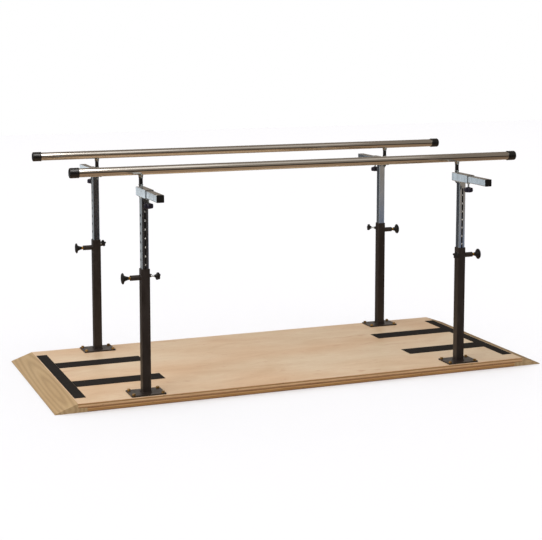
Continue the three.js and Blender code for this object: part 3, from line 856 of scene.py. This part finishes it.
def post_weldment():
    """Base plate, outer tube, plunger barrel and corner nut, welded together and powder coated."""
    low = (-plate_length / 2, -plate_width / 2, platform_top)
    plate = block("plate", low, (plate_length / 2, plate_width / 2, plate_top))
    pick(plate, "EDGE", lambda centre, along: abs(along.z) > aligned)
    bpy.ops.mesh.bevel(offset=plate_corner, segments=corner_segments, affect="EDGES")
    leave()
    eased(plate, plate_edge)
    tube = square_tube("tube", outer_tube, outer_wall, plate_top - plate_thickness / 2, outer_tube_top)
    axis = (0, 0, plunger_level)
    cut(tube, rod("pin_hole", pin_bore, axis, (outer_tube, 0, plunger_level)))
    diagonal = Vector((-1, 1, 0)).normalized()
    level = Vector((0, 0, corner_screw_level))
    screw_end = level + diagonal * 2 * outer_tube
    cut(tube, rod("screw_hole", screw_bore, level, screw_end))
    eased(tube, tube_edge)
    # The barrel and the nut reach a little into the tube's wall
    face, nut_sunk = outer_tube / 2, 2.5
    body_start, body_end = (face - overlap, 0, plunger_level), (barrel_end, 0, plunger_level)
    body = rod("barrel", barrel, body_start, body_end, collar_sides)
    past_barrel, barrel_edge = 100, 0.8
    cut(body, rod("pin_bore", pin_bore, axis, (past_barrel, 0, plunger_level)))
    eased(body, barrel_edge, 3)
    nut_start, nut_end = level + diagonal * (corner_of_tube - nut_sunk), level + diagonal * weld_nut_end
    nut = rod("nut", across_flats(weld_nut), nut_start, nut_end, hexagon)
    cut(nut, rod("nut_bore", screw_bore, level, screw_end))
    eased(nut, small_edge)
    foot_line = square_points(outer_tube + weld_leg * 0.5, plate_top + weld_rise, weld_corner)
    foot = weld_round("foot_weld", foot_line, weld_leg)
    ring_weld = weld_round("barrel_weld", circle_points(barrel + weld_rise, 0), barrel_weld_leg)
    aimed(ring_weld, (1, 0, 0), (face, 0, plunger_level))
    nut_weld = weld_round("nut_weld", circle_points(weld_nut + weld_rise, 0), nut_weld_leg)
    clear = 0.2
    aimed(nut_weld, diagonal, level + diagonal * (corner_of_tube + clear))
    master = joined("post", plate, tube, body, nut, foot, ring_weld, nut_weld)
    at_corners(master, "post_weldment", PLATFORM, POWDER_COAT, "post_{}")


def plate_bolts():
    """Flanged hexagon bolts with a chamfered head."""
    flange_top = plate_top + bolt_flange_thickness
    head_top = flange_top + bolt_head_height
    rim_share, crown = 0.6, 0.3
    profile = [(bolt_shank, plate_top - bolt_shank_length), (bolt_shank, plate_top)]
    profile += [(bolt_flange, plate_top), (bolt_flange, plate_top + bolt_flange_thickness * rim_share)]
    profile += [(bolt_flats, flange_top + crown)]
    washer = turned("washer", profile)
    head = rod("head", across_flats(bolt_flats), (0, 0, flange_top), (0, 0, head_top), hexagon)
    # A cone takes off the corners of the head
    wide = bolt_flats * 2
    profile = [(wide, plate_top), (wide, head_top - bolt_chamfer_height)]
    cone = turned("cone", profile + [(bolt_flats * bolt_chamfer_share, head_top)], collar_sides)
    modify(head, "BOOLEAN", operation="INTERSECT", solver="EXACT", object=cone)
    bpy.data.meshes.remove(cone.data)
    flange_edge, head_edge = 0.15, 0.25
    bolt = joined("bolt", eased(washer, flange_edge), eased(head, head_edge))
    # A front post is a rear one turned half round, and so is the order of its bolts
    for corner, (sx, sy) in CORNERS.items():
        turn = -1 if sy < 0 else 1
        for index, (bx, by) in enumerate([(-1, -1), (1, -1), (-1, 1), (1, 1)], 1):
            x = sx * post_spacing_along / 2 + turn * bx * bolt_along
            y = sy * post_spacing_across / 2 + turn * by * bolt_across
            piece = duplicate(bolt, f"flange_bolt_{corner}_{index}")
            # Each bolt was tightened to its own angle
            angle = math.radians(37 * index + 11 * sx + 5 * sy)
            piece.data.transform(Matrix.Rotation(angle, 4, "Z"))
            in_metres(piece, (x, y, 0))
            settle(piece, "platform", YELLOW_ZINC, [f"plate_bolt_{corner}_{index}"])
    bpy.data.meshes.remove(bolt.data)


# Masts


def height_holes(tube):
    """Cuts the row of holes through the wall that faces the plunger."""
    for step in range(-steps_up, steps_down + 1):
        level = plunger_level + step * height_pitch
        low, high = (height_hole_from, 0, level), (height_hole_to, 0, level)
        cut(tube, rod("height_hole", height_hole, low, high, small_sides))


def mast_and_sleeve():
    """The inner tube with its height holes, and the slotted sleeve and clamp nut that are welded on it."""
    tube = eased(square_tube("tube", mast_tube, mast_wall, mast_bottom, sleeve_bottom), mast_edge)
    height_holes(tube)
    sleeve = laid_across(square_tube("sleeve", outer_tube, outer_wall, sleeve_inboard, sleeve_outboard))
    slot_room = 1
    half_slot = collar / 2 + slot_room
    under, over = sleeve_bottom - cut_overrun, sleeve_bottom + outer_tube + cut_overrun
    slot = block("slot", (-half_slot, sleeve_inboard - cut_overrun, under), (half_slot, stud_inset, over))
    slot_end = rod("slot_end", half_slot * 2, (0, stud_inset, under), (0, stud_inset, over), collar_sides)
    # A tilted block takes off the sleeve's lower inboard edge
    heel = block("heel", (-outer_tube, -heel_block, -heel_block), (outer_tube, 0, 0))
    heel.data.transform(Matrix.Rotation(-math.atan2(heel_up, heel_along), 4, "X"))
    heel.data.transform(Matrix.Translation((0, sleeve_inboard, sleeve_bottom + heel_up)))
    bore_end = (0, arm_screw_offset, arm_level)
    bore = rod("nut_bore", screw_bore, (0, arm_screw_offset, arm_nut_bottom - cut_overrun), bore_end)
    cut(sleeve, slot, slot_end, heel, bore)
    eased(sleeve, tube_edge)
    nut_start = (0, arm_screw_offset, arm_nut_bottom)
    nut_end = (0, arm_screw_offset, sleeve_bottom + overlap)
    nut = rod("nut", across_flats(weld_nut), nut_start, nut_end, hexagon)
    under_nut = (0, arm_screw_offset, arm_nut_bottom - 2 * overlap)
    cut(nut, rod("bore", screw_bore, under_nut, bore_end))
    eased(nut, small_edge)
    wider, lower, nut_wider = 2, 0.6, 1.5
    head_line = square_points(mast_tube + wider, sleeve_bottom - lower, weld_corner)
    head_weld = weld_round("head_weld", head_line, sleeve_weld_leg)
    nut_weld = weld_round("nut_weld", circle_points(weld_nut + nut_wider, 0), clamp_nut_weld_leg)
    aimed(nut_weld, (0, 0, 1), (0, arm_screw_offset, sleeve_bottom))
    at_corners(tube, "mast_tube", MAST, ZINC, "mast_{}")
    head = joined("head", sleeve, nut, head_weld, nut_weld)
    at_corners(head, "mast_head", MAST, ZINC)


def mast_bores():
    """The dark inside of each mast, a film on its inner wall with the height holes through it; its dark
    colour is painted shade inside the tube, which makes the height holes read black.
    """
    clear, film, inset = 0.1, 0.4, 1
    side = mast_tube - 2 * mast_wall - clear
    shade_lining = square_tube("bore", side, film, mast_bottom + inset, sleeve_bottom - inset)
    height_holes(shade_lining)
    at_corners(shade_lining, "mast_bore", MAST, BORE_SHADE_FILM)


def height_scales():
    """A black film strip down the mast's outward face, with plain step numbers in pale ink."""
    face = mast_tube / 2
    low = plunger_level - (steps_up + 1) * height_pitch
    sunk, film_edge, side_margin = 0.05, 0.03, 0.5
    high = (scale_width / 2, face + scale_film, scale_top)
    film = block("film", (-scale_width / 2, face - sunk, low), high)
    at_corners(eased(film, film_edge, 1), "height_scale", MAST, BLACK_FILM)
    numerals = []
    for step in range(-steps_up, steps_down):
        bpy.ops.object.select_all(action="DESELECT")
        bpy.ops.object.text_add()
        text = bpy.context.object
        text.data.body = str(steps_down - step)
        text.data.size = numeral_height / capital_share
        text.data.align_x = text.data.align_y = "CENTER"
        text.data.resolution_u = 3
        text.data.offset = numeral_weight
        text.data.extrude = ink / 2
        bpy.ops.object.convert(target="MESH")
        piece = bpy.context.object
        pick(piece, "FACE", lambda centre, normal: True)
        bpy.ops.mesh.remove_doubles(threshold=0.001)
        leave()
        level = outer_tube_top + numeral_offset + step * height_pitch
        # Numbers of two figures are squeezed to the film's width
        squeeze = Matrix.Scale(min(1, (scale_width - 2 * side_margin) / piece.dimensions.x), 4, (1, 0, 0))
        upright = Matrix.Rotation(math.pi, 4, "Z") @ Matrix.Rotation(math.pi / 2, 4, "X") @ squeeze
        piece.data.transform(Matrix.Translation((0, face + scale_film + ink / 2, level)) @ upright)
        numerals.append(piece)
    numbers = joined("numbers", *numerals)
    for corner, (sx, sy) in CORNERS.items():
        piece = duplicate(numbers, f"height_numbers_{corner}")
        piece.data.transform(Matrix.Rotation(0 if sy > 0 else math.pi, 4, "Z"))
        in_metres(piece, (sx * post_spacing_along / 2, sy * post_spacing_across / 2, 0))
        settle(piece, f"{corner}_mast", WHITE_INK)
    bpy.data.meshes.remove(numbers.data)


# Arms


def width_arm():
    """The square tube that carries the rail's stud, with a plug in its outer end."""
    tube = laid_across(square_tube("arm", mast_tube, mast_wall, arm_inner_end, arm_outer_end))
    hole_start, hole_end = (0, stud_inset, arm_bottom - cut_overrun), (0, stud_inset, arm_top + cut_overrun)
    cut(tube, rod("stud_hole", stud + 2 * gap, hole_start, hole_end))
    at_corners(eased(tube, fine_edge), "arm_tube", ARM, ZINC, "arm_{}")
    half = mast_tube / 2
    outer_face = arm_outer_end + arm_cap_thickness
    low = (-half, arm_outer_end, arm_level - half)
    flange = block("flange", low, (half, outer_face, arm_level + half))
    pick(flange, "EDGE", lambda centre, along: abs(along.y) > aligned)
    bpy.ops.mesh.bevel(offset=tube_corner, segments=corner_segments, affect="EDGES")
    leave()
    near = 0.01
    pick(
        flange,
        "EDGE",
        lambda centre, along: abs(centre.y - outer_face) < near and abs(along.y) < 1 - aligned,
    )
    bpy.ops.mesh.bevel(offset=arm_cap_round, segments=corner_segments, affect="EDGES")
    leave()
    inner = half - mast_wall - gap
    low = (-inner, arm_outer_end - arm_plug_depth, arm_level - inner)
    plug = block("plug", low, (inner, arm_outer_end + overlap, arm_level + inner))
    plug_edge = 1
    cap = joined("cap", flange, eased(plug, plug_edge))
    at_corners(cap, "arm_plug", ARM, BLACK_NYLON, "arm_cap_{}")


# Rail studs


def rail_studs():
    """The bolt through the arm with its nut and collar, and the black spacer under the rail's cup."""
    nut_bottom = arm_bottom - stud_nut_height
    bolt_end = cup_foot + cup_socket - gap
    tail = threaded("tail", stud, nut_bottom - stud_tail, nut_bottom + overlap)
    shank = rod("shank", stud, (0, 0, nut_bottom), (0, 0, bolt_end))
    nut = rod("nut", across_flats(stud_nut), (0, 0, nut_bottom), (0, 0, arm_bottom), hexagon)
    nut_round, spacer_edge = 0.7, 0.5
    eased(nut, nut_round, 3)
    ring_top = arm_top + collar_height
    # The collar's waist is turned down between two lips
    lip, shoulder = 2.4, 3.2
    waist = collar - lip
    profile = [(collar, arm_top), (collar, arm_top + lip), (waist, arm_top + shoulder)]
    profile += [(waist, ring_top - shoulder), (collar, ring_top - lip), (collar, ring_top)]
    foot = turned("collar", profile, collar_sides)
    at_stud = Matrix.Translation((0, stud_inset, 0))
    master = joined("stud", tail, shank, nut, eased(foot, fine_edge))
    master.data.transform(at_stud)
    at_corners(master, "rail_stud_bolt", ARM, ZINC, "rail_stud_{}")
    sleeve = eased(rod("spacer", spacer, (0, 0, ring_top), (0, 0, spacer_top), collar_sides), spacer_edge)
    sleeve.data.transform(at_stud)
    at_corners(sleeve, "stud_spacer", ARM, BLACK_NYLON)


# Plungers and clamp screws


def plungers():
    """Pin, brass ring and mushroom pull knob, turned about the barrel's axis."""
    start = barrel_end + gap
    neck = start + ring_length
    disc = neck + pull_neck_length
    end = disc + pull_disc_thickness
    outward, place = (1, 0, 0), (0, 0, plunger_level)
    pin_piece = eased(rod("pin", pin, (0, 0, mast_tube / 2 + gap), (0, 0, start + overlap)), small_edge)
    at_corners(aimed(pin_piece, outward, place), "plunger_pin", PLUNGER, ZINC)
    # A groove runs round the ring, nearer to the knob
    groove, ring_edge = ring - 1, 0.25
    profile = [(ring, start), (ring, start + 2.6), (groove, start + 3.2)]
    profile += [(groove, neck - 1.8), (ring, neck - 1.2), (ring, neck)]
    ring_piece = eased(turned("ring", profile, hub_sides), ring_edge)
    at_corners(aimed(ring_piece, outward, place), "plunger_ring", PLUNGER, BRASS)
    # The neck flares to the shoulder, and the disc's edge rolls over to a low dome
    flare = [(0, 0), (1, 2), (5, 9), (10, 15.5)]
    profile = [(pull_neck + wider, neck + up) for wider, up in flare] + [(pull_shoulder, disc)]
    disc_shares = [(0.84, 1.2), (0.96, 2.6), (1, 4.3), (0.985, 5.8), (0.9, 7.4), (0.7, 8.7)]
    dome_share = 0.4
    profile += [(pull_disc * share, disc + up) for share, up in disc_shares]
    profile += [(pull_disc * dome_share, end)]
    knob = aimed(turned("pull_knob", profile, knob_sides), outward, place)
    at_corners(knob, "plunger_knob", PLUNGER, BLACK_NYLON, "plunger_{}")


def lobed_grip(name, diameter, start, thickness, dip, profile):
    """A five-lobed grip along Z with one lobe up, turned from shares of its diameter and thickness and
    pinched to the dip's share of its reach between the lobes. The smoothing draws the lobes in, so they
    start longer."""
    smoothing_share, shoulder_share = 0.977, 0.98
    reach = diameter / smoothing_share
    sides, steps = 20, 4
    grip = turned(name, [(reach * wide, start + thickness * high) for wide, high in profile], sides)
    # Round each lobe the columns of points go lobe, shoulder, dip, shoulder
    turn = 360 / sides
    for step, share in ((1, shoulder_share), (2, dip), (3, shoulder_share)):
        pick(
            grip,
            "VERT",
            lambda place, out: round(math.degrees(math.atan2(place.y, place.x)) / turn) % steps == step,
        )
        bpy.ops.transform.resize(value=(share, share, 1), center_override=(0, 0, 0))
        leave()
    grip.data.transform(Matrix.Rotation(math.radians(turn), 4, "Z"))
    return modify(grip, "SUBSURF", levels=2, render_levels=2)


def corner_screws():
    """Zinc stud and star knob at 45 degrees on the outer tube's corner."""
    diagonal = Vector((-1, 1, 0)).normalized()
    place = (0, 0, corner_screw_level)
    shank = threaded("shank", screw, corner_of_mast + gap, corner_hub_start + overlap)
    at_corners(aimed(shank, diagonal, place), "corner_stud", CORNER_SCREW, ZINC)
    hub_end = corner_hub_start + corner_hub_length
    profile = [(corner_hub_tip, corner_hub_start), (corner_hub_tip + 1, corner_hub_start + 2)]
    profile += [(corner_hub - 1, hub_end - 2), (corner_hub + 1, hub_end + 2)]
    hub = turned("hub", profile, hub_sides)
    disc_shares = [(0.5, 0), (0.84, 0), (0.97, 0.1), (1, 0.3), (1, 0.7), (0.97, 0.9), (0.84, 1), (0.5, 1)]
    grip = lobed_grip("grip", corner_knob, hub_end, corner_knob_thickness, corner_knob_dip, disc_shares)
    knob = aimed(joined("knob", hub, grip), diagonal, place)
    at_corners(knob, "corner_knob", CORNER_SCREW, BLACK_NYLON, "corner_screw_{}")


def arm_screws():
    """Zinc stud and lobed knob, pointing down under the sleeve."""
    tip = arm_bottom - gap
    down, place = (0, 0, -1), (0, arm_screw_offset, tip)
    hub_start = tip - arm_hub_start
    shank = threaded("shank", screw, 0, hub_start + overlap)
    at_corners(aimed(shank, down, place), "arm_stud", ARM_SCREW, ZINC)
    hub_end = hub_start + arm_hub_length
    profile = [(corner_hub - 2, hub_start), (corner_hub, hub_start + 1), (corner_hub + 2, hub_end + 1)]
    puck_shares = [(0.5, 0), (0.84, 0.05), (0.97, 0.16), (1, 0.34)]
    puck_shares += [(1, 0.68), (0.96, 0.84), (0.82, 0.95), (0.42, 1)]
    grip = lobed_grip("grip", arm_knob, hub_end, arm_knob_thickness, arm_knob_dip, puck_shares)
    knob = aimed(joined("knob", turned("hub", profile, hub_sides), grip), down, place)
    at_corners(knob, "arm_knob", ARM_SCREW, NAVY_NYLON, "arm_screw_{}")


# Handrails


def handrails():
    """Each rail's open tube, the cups that hold it on its studs, and the vinyl caps on its ends."""
    half = rail_length / 2
    tube = rod("rail", rail, (-half, 0, rail_level), (half, 0, rail_level), rail_sides)
    pick(tube, "FACE", lambda centre, normal: abs(normal.x) > aligned)
    bpy.ops.mesh.inset(thickness=rail_wall)
    bpy.ops.mesh.bridge_edge_loops()
    leave()
    eased(tube, fine_edge)
    profile = [(cup_foot_width, cup_foot), (cup_foot_width, cup_foot + 3), (cup_rim - 2, cup_foot + 8)]
    profile += [(cup_rim, cup_foot + 11), (cup_rim, cup_foot + cup_height + 5)]
    cup = turned("cup", profile, collar_sides)
    saddle_fit, saddle_half = 0.4, 50
    saddle_start, saddle_end = (-saddle_half, 0, rail_level), (saddle_half, 0, rail_level)
    saddle = rod("saddle", rail - saddle_fit, saddle_start, saddle_end, rail_sides)
    socket_start, socket_end = (0, 0, cup_foot - cut_overrun), (0, 0, cup_foot + cup_socket)
    cut(eased(cup, fine_edge), saddle, rod("socket", stud + 2 * gap, socket_start, socket_end))
    cap_inner = rail / 2 + gap
    mouth = rail_cap_length - rail_cap_end
    # A bead rolls round the mouth, and the end is a low dome with a round edge
    bead, dome = 1, 0.6
    body_width = rail_cap - bead
    profile = [(rail_cap, 0), (rail_cap, 2), (body_width, 3)]
    for angle in range(0, 91, 15):
        turn = math.radians(angle)
        width = body_width - 2 * rail_cap_round * (1 - math.cos(turn))
        profile.append((width, rail_cap_length - dome - rail_cap_round * (1 - math.sin(turn))))
    profile.append((rail_cap / 3, rail_cap_length))
    shell = turned("shell", profile, rail_sides)
    cut(shell, rod("bore", cap_inner * 2, (0, 0, -cut_overrun), (0, 0, mouth), rail_sides))
    eased(shell, small_edge)
    for row, sy in (("front", -1), ("rear", 1)):
        across = sy * rail_across
        body = f"{row}_rail"
        piece = in_metres(duplicate(tube, f"rail_tube_{row}"), (0, across, 0))
        settle(piece, body, STAINLESS, [f"handrail_{row}"])
        for end, side in ENDS.items():
            place = (side * post_spacing_along / 2, across, 0)
            piece = in_metres(duplicate(cup, f"rail_cup_{row}_{end}"), place)
            settle(piece, body, ZINC)
            place = (side * (half + gap - mouth), 0, rail_level)
            piece = aimed(duplicate(shell, f"vinyl_end_{row}_{end}"), (side, 0, 0), place)
            in_metres(piece, (0, across, 0))
            settle(piece, body, VINYL, [f"rail_cap_{row}_{end}"])
    for master in (tube, cup, shell):
        bpy.data.meshes.remove(master.data)


# Studio


def studio():
    """A pale floor under its own even light, soft boxes for the piece, and a dim brownish grey room."""
    bpy.ops.object.select_all(action="DESELECT")
    bpy.ops.mesh.primitive_plane_add(size=28, location=(0, 0, 0))
    floor = bpy.context.object
    floor.name = "floor"
    floor.visible_glossy = False
    pale = bpy.data.materials.new("pale_studio_floor")
    pale.use_nodes = True
    shader = pale.node_tree.nodes["Principled BSDF"]
    shader.inputs["Base Color"].default_value = srgb("#f3f3f3")
    shader.inputs["Roughness"].default_value = 1
    floor.data.materials.append(pale)

    def receivers(name, pieces, state="INCLUDE"):
        """The pieces that a lamp lights, or that it leaves out."""
        made = bpy.data.collections.new(name)
        for piece in pieces:
            made.objects.link(piece)
        for entry in made.collection_objects:
            entry.light_linking.link_state = state
        return made

    def named(*starts):
        return [piece for piece in bpy.data.objects if piece.name.startswith(starts)]

    arms = named("mast_head", "arm_tube")
    rails_only = receivers("rails_only", named("rail_tube", "vinyl_end"))
    masts_only = receivers("masts_only", named("mast_tube", "mast_head"))
    zinc_only = receivers("zinc_only", named("mast_tube", "mast_head", "arm_tube"))
    floor_only = receivers("floor_only", [floor])
    arms_only = receivers("arms_only", arms)
    studs_only = receivers("studs_only", named("rail_stud_bolt", "rail_cup", "arm_stud"))
    all_but_floor = receivers("all_but_floor", [floor], "EXCLUDE")
    all_but_arms = receivers("all_but_floor_and_arms", [floor, *arms], "EXCLUDE")

    def soft_box(name, place, target, size, brightness, colour, lit):
        light = bpy.data.lights.new(name, "AREA")
        light.shape = "RECTANGLE"
        light.size, light.size_y = size
        # An area light's power for a surface of this brightness, where 1 is white
        light.energy = brightness * math.pi * size[0] * size[1]
        light.color = srgb(colour)[:3]
        lamp = bpy.data.objects.new(name, light)
        lamp.location = place
        lamp.rotation_euler = (Vector(target) - Vector(place)).to_track_quat("-Z", "Y").to_euler()
        lamp.visible_camera = False
        lamp.light_linking.receiver_collection = lit
        bpy.context.scene.collection.objects.link(lamp)
        return lamp

    soft_box("floor_wash", (0, 0, 6), (0, 0, 0), (60, 60), 0.95, "#f4f8ff", floor_only)
    soft_box("key_box", (-5, -1, 4.5), (0, 0, 0.2), (6, 5), 3.2, "#fffaf4", all_but_floor)
    fill = soft_box("fill_box", (-0.4, -1.8, 4.2), (0, 0, 0.1), (5, 3.4), 1.28, "#fffaf2", all_but_floor)
    fill.visible_glossy = False
    # Three boxes in a row over the rails, each dimmer than the one to its left
    for name, across, width, brightness, lit in [
        ("hot_top_box", -0.7, 1.16, 6, rails_only),
        ("top_box", 0.34, 0.92, 1, all_but_floor),
        ("dim_top_box", 1.6, 1.6, 0.42, all_but_floor),
    ]:
        place, target = (across, -1.9, 4), (across, -0.4, 0.95)
        soft_box(name, place, target, (width, 2.8), brightness, "#fffdfa", lit)
    soft_box("back_box", (0.5, 12, 4.2), (0.3, 0, 0.2), (16, 2.4), 0.62, "#f6f4f0", all_but_arms)
    soft_box("left_box", (-1.45, 3.4, 1.2), (-1.2, 0, 1), (1.05, 2.2), 1.1, "#e2eaf0", arms_only)
    soft_box("stud_box", (1.6, -3.4, 0.5), (-0.2, 0, 0.5), (5.5, 1.1), 0.7, "#e0e8e4", studs_only)
    soft_box("right_box", (2.7, -4.6, 0.28), (0.6, 0, 0.6), (3.2, 0.62), 0.55, "#f4dfc8", masts_only)
    soft_box("cool_box", (2.7, -4.6, -0.45), (0.6, 0, -0.45), (3.2, 0.82), 0.45, "#8fb4e6", masts_only)
    # One on each side, out of the photograph's reflections, so that the zinc is bright from all round
    for name, place, length in [
        ("right_side_box", (7, 0.75, -0.6), 12.5),
        ("left_side_box", (-7, -0.25, -0.6), 11.5),
        ("back_side_box", (2.6, 8, -0.8), 7),
        ("front_side_box", (-3.4, -8, -0.6), 6),
    ]:
        soft_box(name, place, (0, 0, 0.5), (length, 3.4), 0.55, "#eef2f6", zinc_only)

    world = bpy.data.worlds.new("studio")
    world.use_nodes = True
    tree = world.node_tree
    tree.nodes.clear()
    direction = add(tree, "ShaderNodeTexCoord")["Generated"]
    x, y, z = list(add(tree, "ShaderNodeSeparateXYZ", {0: direction}))
    share = add(tree, RANGE, {"Value": z, "From Min": -1, "From Max": 1})[0]
    # Tan far below the horizon, nearly black just under it, and brownish grey above
    stops = [(0.3, "#b0957a"), (0.37, "#1c1714"), (0.49, "#1c1714"), (0.55, "#958b81")]
    room = add(tree, RAMP, {0: share}, stops)[0]
    # Cards in the room that the posts and rails mirror: directions in x and in z, front or back, colour
    for x_span, z_span, side, card in [
        ((-0.36, -0.16), (-0.185, -0.118), "GREATER_THAN", "#c6c9ca"),
        ((-0.56, -0.36), (-0.2, -0.1), "GREATER_THAN", "#50555c"),
        ((-0.56, -0.18), (-0.42, -0.2), "GREATER_THAN", "#7d6a5a"),
        ((0.47, 0.8), (-1, -0.3), "LESS_THAN", "#8a7664"),
    ]:
        inside = add(tree, MATH, {0: y, 1: 0}, operation=side)[0]
        for axis, (low, high) in ((x, x_span), (z, z_span)):
            reach = {0: axis, 1: (low + high) / 2, 2: (high - low) / 2}
            within = add(tree, MATH, reach, operation="COMPARE")[0]
            inside = add(tree, MATH, {0: inside, 1: within}, operation="MULTIPLY")[0]
        room = add(tree, MIX, {0: inside, 6: room, 7: srgb(card)}, data_type="RGBA")[2]
    seen = add(tree, "ShaderNodeLightPath")["Is Camera Ray"]
    colour = add(tree, MIX, {0: seen, 6: room, 7: (1, 1, 1, 1)}, data_type="RGBA")[2]
    background = add(tree, "ShaderNodeBackground", {"Color": colour})[0]
    add(tree, "ShaderNodeOutputWorld", {"Surface": background})
    bpy.context.scene.world = world
    bpy.context.scene.view_settings.view_transform = "Standard"


def camera():
    """The photograph's view: from the front left, a little above the handrails."""
    view = bpy.data.cameras.new("camera")
    view.sensor_width = 36
    view.lens = 88.98
    pitch_down, turn_right = 0.1205, 0.3746
    view.shift_y = -0.15
    view.clip_end = 200
    holder = bpy.data.objects.new("camera", view)
    holder.location = (-2.3144, -5.8376, 1.6010)
    holder.rotation_euler = (math.pi / 2 - pitch_down, 0, -turn_right)
    bpy.context.scene.collection.objects.link(holder)
    bpy.context.scene.camera = holder


camera()
boards()
ramp_boards()
grip_tapes()
post_weldment()
plate_bolts()
mast_and_sleeve()
mast_bores()
height_scales()
width_arm()
rail_studs()
plungers()
corner_screws()
arm_screws()
handrails()
studio()
